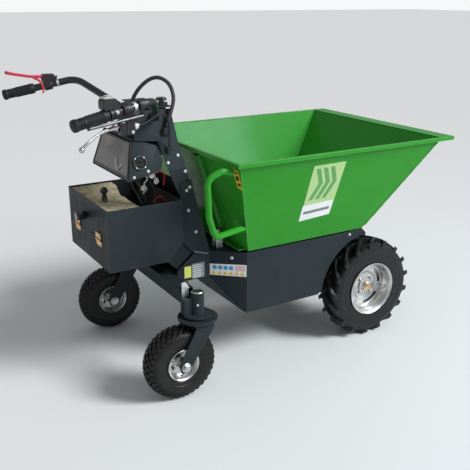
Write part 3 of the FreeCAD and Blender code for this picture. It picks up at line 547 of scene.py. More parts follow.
def lug(bm, centre, side, start):
    """One slanted bar of the tread, from past the middle round the shoulder."""
    stations = 9
    rings = []
    for k in range(stations + 1):
        s = k / stations
        reach = -0.005 + s * (DRIVE_HALF + 0.003)
        turn = start + LUG_LEAD * (1 - s) ** 1.25
        width = 0.0072 + 0.0018 * max(0.0, s - 0.75) * 4
        top = DRIVE_RADIUS - 0.0025 * s ** 2 - 0.030 * max(0.0, s - 0.86)
        foot = tread_radius(min(reach, DRIVE_HALF * 0.98)) - 0.004 - 0.08 * max(0.0, s - 0.86)
        corners = []
        for spread, radius in ((1.55, foot), (1.1, top - 0.0015), (0.85, top), (-0.85, top),
                               (-1.1, top - 0.0015), (-1.55, foot)):
            angle = turn + spread * width / DRIVE_RADIUS
            corners.append(bm.verts.new(centre + Vector((
                -radius * math.cos(angle), side * reach, radius * math.sin(angle)))))
        rings.append(corners)
    loft(bm, rings)


def slotted_disc(bm, centre, side, inner, outer, slots, slot_low, slot_high, thickness, gap=0.62):
    """A wheel disc with curved slots: two skins and the walls round every edge."""
    per_slot = 16
    sectors = per_slot * slots
    radii = [inner, slot_low, slot_high, outer]
    made = {}

    def corner(k, ring, level):
        key = (k % sectors, ring, level)
        if key not in made:
            turn = math.tau * key[0] / sectors
            made[key] = bm.verts.new(centre + Vector((
                radii[ring] * math.cos(turn), side * thickness * level, radii[ring] * math.sin(turn))))
        return made[key]

    def solid(k, ring):
        if not 0 <= ring < 3:
            return False
        return ring != 1 or (k % per_slot) / per_slot >= gap

    for k in range(sectors):
        for ring in range(3):
            if not solid(k, ring):
                continue
            for level in (0, 1):
                bm.faces.new([corner(k, ring, level), corner(k, ring + 1, level),
                              corner(k + 1, ring + 1, level), corner(k + 1, ring, level)])
            walls = (((k, ring), (k + 1, ring), solid(k, ring - 1)),
                     ((k, ring + 1), (k + 1, ring + 1), solid(k, ring + 1)),
                     ((k, ring), (k, ring + 1), solid((k - 1) % sectors, ring)),
                     ((k + 1, ring), (k + 1, ring + 1), solid((k + 1) % sectors, ring)))
            for first, second, covered in walls:
                if not covered:
                    bm.faces.new([corner(*first, 0), corner(*second, 0), corner(*second, 1),
                                  corner(*first, 1)])


def drive_rim(name, centre, side, body):
    bm = bmesh.new()
    half = DRIVE_HALF
    shell = [(-half + 0.002, 0.1085), (-half, 0.1065), (-half + 0.0025, 0.1045), (-half + 0.007, 0.1),
             (-0.026, 0.0975), (-0.02, 0.091), (0.012, 0.091), (0.02, 0.0945), (0.026, 0.0975),
             (half - 0.014, 0.0985), (half - 0.006, 0.1005), (half - 0.0025, 0.1045),
             (half, 0.1065), (half - 0.001, 0.1088)]
    back = [(along, radius + 0.0022) for along, radius in shell[1:-1]][::-1]
    turned(bm, centre, Y * side, shell + back, 72, closed=True)
    disc_at = centre + Y * side * 0.002
    slotted_disc(bm, disc_at, side, 0.058, 0.0912, 4, 0.070, 0.083, 0.003)
    dish = [(0.001, 0.0585), (0.007, 0.056), (0.009, 0.050), (0.009, 0.019), (0.006, 0.019),
            (0.006, 0.048), (0.004, 0.053), (-0.001, 0.0585)]
    turned(bm, centre, Y * side, dish, 48, closed=True)
    stem = centre + Y * side * 0.018 + Vector((0.086, 0, -0.02))
    turned(bm, stem, Vector((-0.35, side * 0.9, 0.1)),
           [(0, 0), (0, 0.0055), (0.010, 0.0045), (0.011, 0.003), (0.024, 0.003), (0.024, 0.0038),
            (0.034, 0.0038), (0.034, 0)], 14)
    piece(name, bm, RIM, body, [name], angle=30)


def drive_hub(name, centre, side, body):
    """Half shaft, flange, wheel nuts and the hub's brass-coloured core."""
    bm = bmesh.new()
    inboard = centre.y - side * 0.002
    shaft = [(-abs(inboard), 0), (-abs(inboard), 0.0145), (-0.02, 0.0145), (-0.012, 0.017),
             (-0.008, 0.055), (-0.002, 0.055), (-0.002, 0.018), (0.011, 0.018), (0.0125, 0.034),
             (0.014, 0.034), (0.0165, 0.020), (0.026, 0.018), (0.028, 0.016), (0.028, 0)]
    turned(bm, centre, Y * side, shaft, 40)
    for k in range(4):
        turn = math.radians(45 + 90 * k)
        at = centre + Vector((0.038 * math.cos(turn), side * 0.009, 0.038 * math.sin(turn)))
        pellet(bm, at, Y * side, 0.0098, 0.002)
        hex_nut(bm, at + Y * side * 0.002, Y * side, 0.0155, 0.008)
        stud = [(0, 0), (0, 0.0045), (0.003, 0.004), (0.003, 0)]
        turned(bm, at + Y * side * 0.010, Y * side, stud, 16)
    piece(name, bm, STEEL, body, [name], angle=30)
    bm = bmesh.new()
    turned(bm, centre + Y * side * 0.0275, Y * side,
           [(0, 0), (0, 0.0125), (0.0015, 0.0135), (0.004, 0.0125), (0.005, 0.009), (0.004, 0.004),
            (0.004, 0)], 28)
    for k in range(3):
        turn = math.radians(90 + 120 * k)
        at = centre + Vector((0.0225 * math.cos(turn), side * 0.0135, 0.0225 * math.sin(turn)))
        hex_nut(bm, at, Y * side, 0.007, 0.004)
    piece(name.replace("shaft", "hub_core"), bm, BRASS, body)


for word, side in (("right", -1), ("left", 1)):
    axle = joint_at("drive_spin_" + word)
    body = "drive_wheel_" + word
    drive_tyre("drive_tyre_" + word, axle, body)
    drive_rim("drive_rim_" + word, axle, side, body)
    drive_hub("drive_shaft_" + word, axle, side, body)


# ---- castors ------------------------------------------------------------------------------------

CASTOR_RADIUS = joint_at("castor_spin_right").z
CASTOR_HALF = (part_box("castor_tyre_right")[1].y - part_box("castor_tyre_right")[0].y) / 2
BLOCK_HEIGHT = 0.0065


def castor_tyre(name, centre, body):
    bm = bmesh.new()
    half = CASTOR_HALF
    skin = CASTOR_RADIUS - BLOCK_HEIGHT
    crown = [(0, skin), (half * 0.3, skin - 0.0006), (half * 0.55, skin - 0.003),
             (half * 0.75, skin - 0.0075)]
    wall = [(half * 0.9, 0.1105), (half * 0.97, 0.103), (half, 0.094), (half * 0.99, 0.0855),
            (half * 0.975, 0.0835), (half * 0.96, 0.0780), (half * 0.93, 0.0765),
            (half * 0.92, 0.0715), (half * 0.87, 0.0655), (half * 0.885, 0.0632),
            (half * 0.80, 0.0585), (half * 0.5, 0.0562)]
    inner = [(half * 0.5, 0.060), (half * 0.8, 0.090), (half * 0.5, 0.111), (0, 0.113)]
    loop = crown + wall + inner
    loop += [(-y, r) for y, r in loop[::-1] if y > 0]
    turned(bm, centre, Y, loop, 80, closed=True)
    rows = 34
    for k in range(rows):
        turn = math.tau * k / rows
        half_turn = math.pi / rows
        for side in (-1, 1):
            tread_block(bm, centre, turn + (half_turn if side > 0 else 0), side * 0.0065, 0.0058, 0.5)
            tread_block(bm, centre, turn + (0 if side > 0 else half_turn), side * 0.0185, 0.0052, 0.46)
            tread_block(bm, centre, turn + (half_turn if side > 0 else 0), side * 0.0295, 0.0052, 0.52)
    ribs = 68
    for k in range(ribs):
        turn = math.tau * k / ribs
        for side in (-1, 1):
            wall_rib(bm, centre, turn, side)
    piece(name, bm, CASTOR_TYRE, body, [name], angle=28)


def around(centre, turn, reach, radius):
    return centre + Vector((-radius * math.cos(turn), reach, radius * math.sin(turn)))


def tread_block(bm, centre, turn, reach, half_wide, fill):
    """One block of the tread, tapering outwards."""
    share = abs(reach) / CASTOR_HALF
    top = CASTOR_RADIUS - 0.019 * share ** 2.4
    half_turn = fill * math.pi / 34
    rings = []
    for radius, grow in ((top - BLOCK_HEIGHT - 0.003, 1.25), (top - 0.0007, 1.02), (top, 0.88)):
        lean = 0.0012 if radius == top else 0.0
        corners = []
        for across, along in ((-1, -1), (1, -1), (1, 1), (-1, 1)):
            sink = 0.12 * (abs(reach + across * half_wide) - abs(reach))
            skew = across * 0.25 * half_turn
            corners.append(bm.verts.new(around(
                centre, turn + along * half_turn * grow + skew,
                reach + across * half_wide * grow - math.copysign(lean, reach), radius - sink)))
        rings.append(corners)
    loft(bm, rings)


def wall_rib(bm, centre, turn, side):
    """A short raised rib on the sidewall, running out to the shoulder."""
    rings = []
    for radius, reach, wide in ((0.0985, 0.0412, 0.55), (0.104, 0.0412, 1.0), (0.112, 0.0383, 1.0),
                                (0.1175, 0.0340, 0.9)):
        half_turn = wide * 0.0014 / radius
        corners = []
        for out, along in ((-0.002, -1.5), (0.0014, -0.8), (0.0014, 0.8), (-0.002, 1.5)):
            corners.append(bm.verts.new(around(centre, turn + along * half_turn,
                                               side * min(reach + out, CASTOR_HALF), radius)))
        rings.append(corners)
    loft(bm, rings)


def castor_rim(name, centre, body):
    bm = bmesh.new()
    for side in (-1, 1):
        lip = [(0.0, 0.046), (0.012, 0.0475), (0.024, 0.051), (0.031, 0.0525), (0.0345, 0.0545),
               (0.0372, 0.0582), (0.0385, 0.0585), (0.0395, 0.057), (0.0375, 0.0535),
               (0.0325, 0.0505), (0.026, 0.0482), (0.014, 0.043), (0.0, 0.0435)]
        turned(bm, centre, Y * side, lip, 56, closed=True)
        disc = centre + Y * side * 0.010
        slotted_disc(bm, disc, side, 0.020, 0.0445, 4, 0.026, 0.038, 0.0025, gap=0.4)
        hub = [(0.008, 0.0215), (0.014, 0.0205), (0.018, 0.0165), (0.036, 0.0155), (0.038, 0.0145),
               (0.038, 0.0085), (0.008, 0.0085)]
        turned(bm, centre, Y * side, hub, 36, closed=True)
    stem = centre + Vector((-0.033, -0.014, 0.022))
    turned(bm, stem, Vector((0.3, -1, -0.15)),
           [(0, 0), (0, 0.005), (0.008, 0.004), (0.009, 0.0026), (0.020, 0.0026), (0.020, 0.0034),
            (0.028, 0.0034), (0.028, 0)], 14)
    piece(name, bm, RIM, body, [name], angle=30)


def castor_axle(name, centre, body):
    bm = bmesh.new()
    low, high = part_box(name)
    reach = (high.y - low.y) / 2
    turned(bm, centre, Y, [(-reach + 0.002, 0), (-reach + 0.002, 0.0079), (reach - 0.002, 0.0079),
                           (reach - 0.002, 0)], 24)
    for side in (-1, 1):
        plate = centre + Y * side * (reach - 0.0135)
        turned(bm, plate, Y * side, [(0, 0), (0, 0.0168), (0.0018, 0.0172), (0.0026, 0.016),
                                     (0.0026, 0)], 32)
        hex_nut(bm, plate + Y * side * 0.0026, Y * side, 0.024, 0.0085)
        turned(bm, plate + Y * side * 0.011, Y * side, [(0, 0), (0, 0.0078), (0.0018, 0.007),
                                                        (0.0018, 0)], 24)
    piece(name, bm, STEEL, body, [name], angle=30)


for word in ("right", "left"):
    spin = joint_at("castor_spin_" + word)
    castor_tyre("castor_tyre_" + word, spin, "castor_wheel_" + word)
    castor_rim("castor_rim_" + word, spin, "castor_wheel_" + word)
    castor_axle("castor_axle_" + word, spin, "castor_swivel_" + word)


# ---- handlebar controls -------------------------------------------------------------------------

GRIP_END = joint_at("throttle_twist")
GRIP_LINE = Vector(joints["throttle_twist"]["axis"]).normalized()
GRIP_RUN = 0.2732


def on_grip(t, side, lift=0.0, out=0.0):
    """A point along a grip: 0 at its free end, 1 at the bar's bend."""
    at = GRIP_END + GRIP_LINE * GRIP_RUN * t
    return Vector((at.x, side * (abs(at.y) + out), at.z + lift))


def grip_line(side):
    return Vector((GRIP_LINE.x, GRIP_LINE.y * -side, GRIP_LINE.z)).normalized()


def grip(name, side, body):
    """A moulded grip: closed end, thumb flange, fine rings and long flutes."""
    bm = bmesh.new()
    profile = rounded((0.0, 0.0), (0.006, 0.0182), 4) + [(0.016, 0.0188), (0.019, 0.0165)]
    for k in range(5):
        start = 0.021 + 0.0042 * k
        profile += [(start, 0.0160), (start + 0.0012, 0.0170), (start + 0.003, 0.0170)]
    profile += [(0.044, 0.0163), (0.046, 0.0172), (0.096, 0.0176), (0.098, 0.0186), (0.1, 0.0189),
                (0.108, 0.0189), (0.110, 0.0178), (0.1165, 0.0172), (0.1165, 0.0129),
                (0.0045, 0.0129), (0.0045, 0.0)]
    turned(bm, on_grip(0, side), grip_line(side), profile, 40)
    for k in range(18):
        turn = math.tau * k / 18
        u, v, w = axes_of(grip_line(side))
        out = u * math.cos(turn) + v * math.sin(turn)
        path = [on_grip(0, side) + w * d + out * 0.0172 for d in (0.05, 0.065, 0.08, 0.094)]
        swept(bm, path, lambda t: oval(0.0011, 0.0009, 6), w.cross(out))
    piece(name, bm, GRIP, body, [name])


grip("throttle_grip", -1, "throttle")
grip("left_grip", 1, "chassis")


def throttle_housing():
    """The fixed housing that the twist grip turns in, with its switch and clamp screw."""
    bm = bmesh.new()
    line = grip_line(-1)
    at = on_grip(0.44, -1)
    profile = [(0, 0.0132), (0, 0.0185), (0.001, 0.0198), (0.007, 0.0198), (0.008, 0.0162),
               (0.012, 0.0162), (0.013, 0.0186), (0.030, 0.0180), (0.034, 0.0160), (0.034, 0.0132)]
    turned(bm, at, line, profile, 40, closed=True)
    piece("throttle_housing", bm, BLACK, "chassis", bevel=0.0004)
    bm = bmesh.new()
    screw = on_grip(0.52, -1) + Vector((0, -0.0172, 0.004))
    dome_bolt(bm, screw, Vector((0, -1, 0.15)), 0.0042, 0.004)
    piece("throttle_screw", bm, BOLT, "chassis")


throttle_housing()


def thumb_switch():
    """The key switch block clamped on the bar in front of the twist grip."""
    at = on_grip(0.455, -1) + Vector((0, 0.004, 0.0))
    line = grip_line(-1)
    u = Vector((line.x, line.y, 0)).normalized()
    v = Vector((-u.y, u.x, 0))
    bm = bmesh.new()
    outline = [(-0.022, 0.0135), (0.016, 0.0135), (0.020, 0.020), (0.020, 0.041), (0.014, 0.046),
               (-0.020, 0.046), (-0.026, 0.040), (-0.026, 0.020)]
    prism(bm, [at + u * x + Z * z - v * 0.016 for x, z in outline], v * 0.032)
    piece("thumb_switch", bm, BLACK, "chassis", bevel=0.002)
    bm = bmesh.new()
    cap = [(-0.024, 0.0462), (0.012, 0.0462), (0.009, 0.0505), (-0.020, 0.0505)]
    prism(bm, [at + u * x + Z * z - v * 0.014 for x, z in cap], v * 0.028)
    turned(bm, at + u * -0.006 + Z * 0.0505, Z,
           [(0, 0), (0, 0.0085), (0.001, 0.009), (0.003, 0.009), (0.004, 0.0075), (0.004, 0)], 24)
    piece("thumb_switch_cap", bm, PALE_CAP, "chassis", bevel=0.0008)


thumb_switch()


def lever_blade(bm, path, thick, wide, waist=0.75):
    """A cast lever: wide at the eye, slim in the middle, fuller at the end."""
    def section(t):
        swell = 1 - (1 - waist) * math.sin(math.pi * min(t * 1.1, 1.0))
        return oval(wide * swell, thick * swell, 12)
    swept(bm, path, section, Z)


def lever_eye(bm, pivot):
    """The chamfered eye that a hand lever turns on."""
    profile = [(0, 0.0031), (0, 0.0085), (0.0008, 0.0088), (0.0082, 0.0088), (0.009, 0.0085),
               (0.009, 0.0031)]
    turned(bm, pivot - Y * 0.0045, Y, profile, 28, closed=True)


def route_from(pivot, steps):
    return [pivot + Vector(step) for step in steps]


def brake_lever():
    pivot = joint_at("brake_pull")
    tip = on_grip(0.1, -1, -0.072)
    bm = bmesh.new()
    route = route_from(pivot, [(-0.004, 0, -0.001), (-0.026, -0.001, -0.005),
                               (-0.055, -0.004, -0.009), (-0.085, -0.010, -0.020),
                               (-0.115, -0.017, -0.037), (-0.138, -0.021, -0.054)]) + [tip]
    lever_blade(bm, smooth_path(route, 6), 0.0042, 0.0062, 0.7)
    lever_eye(bm, pivot)
    sphere(bm, tip, 0.0085)
    piece("brake_lever", bm, STEEL, "brake", ["brake_lever"], angle=50)


def red_lever():
    """The parking lever: a bent red bar with an eye and a hooked foot."""
    pivot = joint_at("parking_pull")
    tip = on_grip(0.06, 1, 0.078)
    bm = bmesh.new()
    route = route_from(pivot, [(0, 0, 0.001), (-0.022, 0, 0.004), (-0.055, 0.004, 0.006),
                               (-0.09, 0.010, 0.012), (-0.12, 0.015, 0.018)]) + [tip]
    lever_blade(bm, smooth_path(route, 6), 0.0034, 0.0060, 0.85)
    foot = route_from(pivot, [(-0.046, -0.001, 0.003), (-0.031, -0.012, -0.006),
                              (-0.021, -0.0205, -0.018), (-0.016, -0.0220, -0.040),
                              (-0.019, -0.0220, -0.054)])
    swept(bm, smooth_path(foot, 5), lambda t: oval(0.0022, 0.0050 - 0.002 * t, 10), Y)
    lever_eye(bm, pivot)
    piece("parking_lever", bm, RED_PAINT, "parking", ["parking_lever"], angle=50)
    bm = bmesh.new()
    slip = [tip + (route[-2] - tip) * share for share in (0.24, 0.16, 0.08, 0.0)]
    swept(bm, slip, lambda t: oval(0.0050, 0.0040, 10), Z)
    piece("parking_lever_tip", bm, GRIP, "parking")


brake_lever()
red_lever()


def perch_details():
    """Screws, cable adjuster, lock tab, clamp bands and cheeks of the two lever perches."""
    brake = joint_at("brake_pull")
    park = joint_at("parking_pull")
    bm = bmesh.new()
    for along, drop in ((-0.003, 0.014), (0.026, -0.018)):
        dome_bolt(bm, Vector((brake.x + along, brake.y - 0.0122, brake.z + drop)), -Y, 0.0038, 0.003)
    for side in (-1, 1):
        dome_bolt(bm, Vector((park.x + 0.012, park.y + side * 0.0122, park.z - 0.004)), Y * side,
                  0.0042, 0.0035)
    piece("perch_screws", bm, BOLT, "chassis")
    bm = bmesh.new()
    barrel = Vector((brake.x + 0.0335, brake.y, brake.z - 0.006))
    turned(bm, barrel, Vector((0.93, 0.2, 0.3)),
           [(0, 0), (0, 0.0088), (0.0015, 0.0102), (0.011, 0.0102), (0.013, 0.0085),
            (0.014, 0.0046), (0.019, 0.0040), (0.019, 0)], 24)
    piece("cable_adjuster", bm, BOLT, "chassis")
    # A thin black strip on the perch: painted shade standing for its groove.
    bm = bmesh.new()
    front = brake.x + 0.0095
    prism(bm, [Vector((front + x, brake.y - 0.0135, brake.z + z)) for x, z in
               ((0.0, 0.030), (0.004, 0.030), (0.004, -0.021), (0.0, -0.021))], (0, 0.0014, 0))
    piece("perch_groove_painted_shade", bm, INK["black"], "chassis")
    bm = bmesh.new()
    tab = [(-0.046, -0.006), (-0.019, 0.001), (-0.0165, 0.012), (-0.0185, 0.019), (-0.026, 0.016),
           (-0.035, 0.004), (-0.048, -0.001)]
    prism(bm, [brake + Vector((x, -0.0066, z)) for x, z in tab], (0, 0.0018, 0))
    piece("lock_tab", bm, DARK_RED, "brake", bevel=0.0004)
    bm = bmesh.new()
    dome_bolt(bm, brake + Vector((-0.025, -0.0066, 0.007)), -Y, 0.0042, 0.003)
    piece("lock_tab_screw", bm, BOLT, "brake")
    bm = bmesh.new()
    for at, length in ((on_grip(0.755, -1), 0.009), (on_grip(0.74, 1), 0.008)):
        line = grip_line(math.copysign(1, at.y))
        turned(bm, at - line * length / 2, line,
               [(0, 0.0128), (0, 0.0142), (length, 0.0142), (length, 0.0128)], 28, closed=True)
    piece("bar_bands", bm, ZINC, "chassis")
    bm = bmesh.new()
    lug = on_grip(0.62, 1)
    cheek = [(-0.02, -0.012), (0.022, -0.004), (0.03, 0.034), (-0.022, 0.026)]
    for across in (0.0145, -0.0175):
        prism(bm, [lug + Vector((x, across, z)) for x, z in cheek], (0, 0.003, 0))
    piece("parking_cheeks", bm, BLACK_PAINT, "chassis", bevel=0.0006)


perch_details()


def bail():
    """The long presence lever that hangs beside the right grip and turns up round the bar."""
    pivot = joint_at("bail_squeeze")
    tail = on_grip(0.16, -1, -0.014, 0.027)
    nose = on_grip(0.84, -1, -0.027, 0.027)
    bm = bmesh.new()
    route = [tail, tail.lerp(nose, 0.33), tail.lerp(nose, 0.66), nose + Vector((-0.012, 0, -0.002)),
             nose]
    swept(bm, smooth_path(route, 5), lambda t: oval(0.0030, 0.0044, 10), Y)
    sphere(bm, tail, 0.0052, 1.0, 16)
    swept(bm, [nose + Vector((0, -0.001, 0)), nose + Y * 0.012, nose + Y * 0.03, nose + Y * 0.042],
          lambda t: oval(0.0029, 0.0029, 12), X)
    piece("bail_lever", bm, BLACK_PAINT, "bail", ["bail_lever"], angle=50)
    # A bright steel strip along the black lever: a painted highlight line.
    bm = bmesh.new()
    edge = [p + Vector((0, -0.0030, 0.0016)) for p in (tail.lerp(nose, 0.02), tail.lerp(nose, 0.5),
                                                       tail.lerp(nose, 0.96))]
    swept(bm, smooth_path(edge, 5), lambda t: oval(0.0014, 0.0022, 8), Y)
    piece("bail_highlight_strip", bm, STEEL, "bail")


bail()


# ---- hose and cable ---------------------------------------------------------------------------

def cord_curve(name, route, diameter, look, node):
    """A hose or cable on one smooth line through the route's hull."""
    line = bpy.data.curves.new(name, "CURVE")
    line.dimensions = "3D"
    line.bevel_depth = diameter / 2
    line.bevel_resolution = 6
    line.resolution_u = 16
    spline = line.splines.new("NURBS")
    spline.points.add(len(route) - 1)
    for point, at in zip(spline.points, route):
        point.co = (at[0] / 1000, at[1] / 1000, at[2] / 1000, 1)
    spline.order_u = 3
    spline.use_endpoint_u = True
    made = bpy.data.objects.new(name, line)
    bpy.context.scene.collection.objects.link(made)
    line.materials.append(look)
    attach(made, "chassis")
    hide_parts(node)
    return made


HOSE = [(-432, -12, 848), (-428, -14, 930), (-404, -30, 1014), (-345, -52, 1066),
        (-303, -82, 1048), (-298, -114, 1000), (-318, -130, 956), (-343, -138, 906)]
cord_curve("hose_sleeve", HOSE, 0.013, SLEEVE, "hose_loop")
BRAKE_CABLE = [(-548.76, -353.32, 958), (-510, -340, 958), (-462, -310, 974), (-416, -262, 976),
               (-374, -212, 950), (-346, -172, 896), (-343, -157, 842)]
cord_curve("brake_cable_line", BRAKE_CABLE, 0.006, BLACK, "brake_cable")


# ---- console, column and box ----------------------------------------------------------------------

console_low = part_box("console_housing")[0]
panel_low, panel_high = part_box("console_panel")
box_low, box_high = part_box("battery_box")
socket_low, socket_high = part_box("charging_socket")


TAPER = math.radians(17)
CONSOLE_FOLD, ARM_FOLD = 0.757, 0.765
SIDE_OUT = Vector((0, -math.cos(TAPER), math.sin(TAPER)))
SIDE_UP = Vector((0, math.sin(TAPER), math.cos(TAPER)))


def on_console(x, level, lift=0.0, side=-1):
    """A point on the console's leaning side."""
    rise = max(level - CONSOLE_FOLD, 0.0)
    at = Vector((x, -0.165 + rise * math.tan(TAPER), level))
    return flipped(at + (SIDE_OUT if rise else -Y) * lift, -side)


def on_arm(x, level, side=-1):
    """A point on the outer face of a column arm above its fold."""
    rise = max(level - ARM_FOLD, 0.0)
    return flipped(Vector((x, -0.172 + rise * math.tan(TAPER), level)), -side)


def socket_core():
    """Two-pin core and cap lugs inside the socket's ring."""
    middle = (socket_low + socket_high) / 2
    at = on_console(middle.x, 0.797, 0.0004)
    bm = bmesh.new()
    turned(bm, at, SIDE_OUT, [(0, 0), (0, 0.0185), (0.001, 0.0188), (0.001, 0.0135),
                              (0.0004, 0.013), (0.0004, 0)], 40)
    for across in (-0.0055, 0.0055):
        turned(bm, at + X * across + SIDE_UP * 0.002, SIDE_OUT,
               [(0, 0), (0, 0.0032), (0.0036, 0.0028), (0.0036, 0)], 18)
    prism(bm, [at + X * x + SIDE_UP * z for x, z in ((-0.012, -0.012), (0.012, -0.012),
                                                     (0.009, -0.006), (-0.009, -0.006))],
          SIDE_OUT * 0.0035)
    piece("socket_core", bm, BALL, "chassis", bevel=0.0003)
    bm = bmesh.new()
    for turn in (45, 135, 225, 315):
        across = 0.0222 * math.cos(math.radians(turn))
        rise = 0.0222 * math.sin(math.radians(turn))
        dome_bolt(bm, at + X * across + SIDE_UP * rise + SIDE_OUT * 0.0047, SIDE_OUT, 0.0019, 0.0012)
    piece("socket_screws", bm, ZINC, "chassis")


def console_details():
    bm = bmesh.new()
    for side in (-1, 1):
        for x, level in ((-0.4770, 0.7535), (-0.4245, 0.7680)):
            at = on_console(x, level, 0.0, side)
            rise = level > CONSOLE_FOLD
            dome_bolt(bm, at, flipped(SIDE_OUT if rise else -Y, -side), 0.0040, 0.003)
        for x, level in ((-0.352, 0.789), (-0.312, 0.8095)):
            dome_bolt(bm, on_arm(x, level, side), flipped(SIDE_OUT, -side), 0.0042, 0.0032)
    piece("console_screws", bm, BOLT, "chassis")

    slope = (panel_high - panel_low)
    lean = math.atan2(slope.x - 0.004, slope.z)
    out = Vector((-math.cos(lean), 0, math.sin(lean)))
    up = Vector((math.sin(lean), 0, math.cos(lean)))
    foot = Vector((panel_low.x, 0, panel_low.z))

    def on_panel(across, level, lift=0.0):
        return foot + Y * across + up * level + out * lift

    bm = bmesh.new()
    ties = (((-0.040, 0.050), (-0.062, 0.016)), ((-0.096, 0.040), (-0.068, 0.014)))
    for (y0, z0), (y1, z1) in ties:
        path = [on_panel(y0 + (y1 - y0) * t, z0 + (z1 - z0) * t, 0.001 + 0.004 * math.sin(math.pi * t))
                for t in (0, 0.2, 0.4, 0.6, 0.8, 1.0)]
        swept(bm, path, lambda t: oval(0.0016, 0.0009, 8), Y)
        sphere(bm, path[0], 0.0034, 0.7, 14)
    piece("panel_ties", bm, WHITE, "chassis")

    bm = bmesh.new()
    rim = [(-0.1585, 0.003), (0.1585, 0.003), (0.1245, 0.118), (-0.1245, 0.118)]
    inner = [(-0.153, 0.0065), (0.153, 0.0065), (0.121, 0.1145), (-0.121, 0.1145)]
    for k in range(4):
        a, b = rim[k], rim[(k + 1) % 4]
        c, d = inner[(k + 1) % 4], inner[k]
        prism(bm, [on_panel(*a, 0.0), on_panel(*b, 0.0), on_panel(*c, 0.0), on_panel(*d, 0.0)],
              out * 0.0022)
    piece("panel_seal", bm, BLACK, "chassis", bevel=0.0006)


def column_bolts():
    """Domed bolts where the CAD holds them, each with its washer."""
    source = nodes["column_bolts"].data
    centres = []
    for corner in source.vertices:
        found = next((c for c in centres if (c[0] - corner.co).length < 0.02), None)
        if found is None:
            centres.append([corner.co.copy(), corner.co.copy(), corner.co.copy()])
        else:
            low, high = found[1], found[2]
            for axis in range(3):
                low[axis] = min(low[axis], corner.co[axis])
                high[axis] = max(high[axis], corner.co[axis])
    bm = bmesh.new()
    for _, low, high in centres:
        middle = (low + high) / 2
        side = math.copysign(1, middle.y)
        foot = low.y if side > 0 else high.y
        dome_bolt(bm, Vector((middle.x, foot, middle.z)), Y * side, 0.0046, 0.0038)
    piece("column_bolts", bm, BOLT, "chassis", ["column_bolts"])


socket_core()
console_details()
column_bolts()


HINGE_WIDTH = 0.046


def knuckle(length):
    """The half outline of one rolled knuckle on a hinge pin."""
    end = length - 0.0005
    return [(0, 0), (0, 0.0027), (0.0005, 0.003), (end, 0.003), (length, 0.0027), (length, 0)]


def hinge_leaf(bm, face, start, levels, depth, screw_level):
    """One stamped leaf on a wall face, with two screws."""
    low, high = levels
    stop = start + HINGE_WIDTH
    prism(bm, [(face, start, low), (face, stop, low), (face, stop, high), (face, start, high)],
          (-depth, 0, 0))
    for across in (0.009, 0.037):
        dome_bolt(bm, Vector((face - depth, start + across, screw_level)), -X, 0.0022, 0.0014)


def hinge_pair():
    """Stamped hinges with a rolled barrel and knuckle gaps: one leaf fixed, one on the flap."""
    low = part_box("box_hinges")[0].z
    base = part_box("box_flap")[0].z
    rear = box_low.x
    pin = joint_at("flap_open")
    for word, start in (("right", -0.126), ("left", 0.080)):
        bm = bmesh.new()
        hinge_leaf(bm, rear, start, (low, pin.z - 0.004), 0.0018, low + 0.006)
        for along in (0.002, 0.0305):
            turned(bm, Vector((pin.x, start + along, pin.z)), Y, knuckle(0.0135), 20)
        stands_for = ["box_hinges"] if word == "right" else ()
        piece("hinge_leaf_" + word, bm, BRASS, "chassis", stands_for, 0.0003)
        bm = bmesh.new()
        hinge_leaf(bm, rear - 0.0027, start, (base + 0.003, base + 0.021), 0.0012, base + 0.014)
        turned(bm, Vector((pin.x, start + 0.0163, pin.z)), Y, knuckle(0.0134), 20)
        piece("flap_leaf_" + word, bm, BRASS, "flap", (), 0.0003)


hinge_pair()


def packed_battery():
    """The battery in its crumpled board, rising unevenly round the lever."""
    low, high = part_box("box_battery")
    floor_level, rise, reach = 0.623, 0.031, 0.048
    near, far = box_low.y + 0.005, box_high.y - 0.005
    back = box_low.x + 0.006
    bm = bmesh.new()
    columns, rows = 52, 64
    grid = []
    for i in range(columns + 1):
        line = []
        for j in range(rows + 1):
            x = back + (high.x - back) * i / columns
            y = near + (far - near) * j / rows
            fold = noise_at(x, y, 17, 0.010) + noise_at(x, y, 46, 0.0045) + noise_at(x, y, 110, 0.0016)
            edge = min(i, columns - i, 6) / 6 * min(j, rows - j, 6) / 6
            climb = 1 - min(x - back, y - near, far - y, reach) / reach
            droop = 0.016 * max(0.0, 1 - (high.x - x) / 0.02)
            line.append(bm.verts.new((x, y, floor_level + rise * climb ** 1.6 + fold * edge - droop)))
        grid.append(line)
    for i in range(columns):
        for j in range(rows):
            bm.faces.new([grid[i][j], grid[i + 1][j], grid[i + 1][j + 1], grid[i][j + 1]])
    border = [grid[i][0] for i in range(columns + 1)] + [grid[columns][j] for j in range(1, rows + 1)]
    border += [grid[i][rows] for i in range(columns - 1, -1, -1)]
    border += [grid[0][j] for j in range(rows - 1, 0, -1)]
    skirt = [bm.verts.new((v.co.x, v.co.y, low.z + 0.001)) for v in border]
    join_rings(bm, border, skirt)
    bm.faces.new(skirt)
    return bm


def noise_at(x, y, scale, height):
    from mathutils import noise
    return height * noise.noise(Vector((x * scale, y * scale, 3.1)))


def battery_and_boards():
    piece("packed_battery", packed_battery(), TAN, "chassis", ["box_battery"], angle=60)


battery_and_boards()


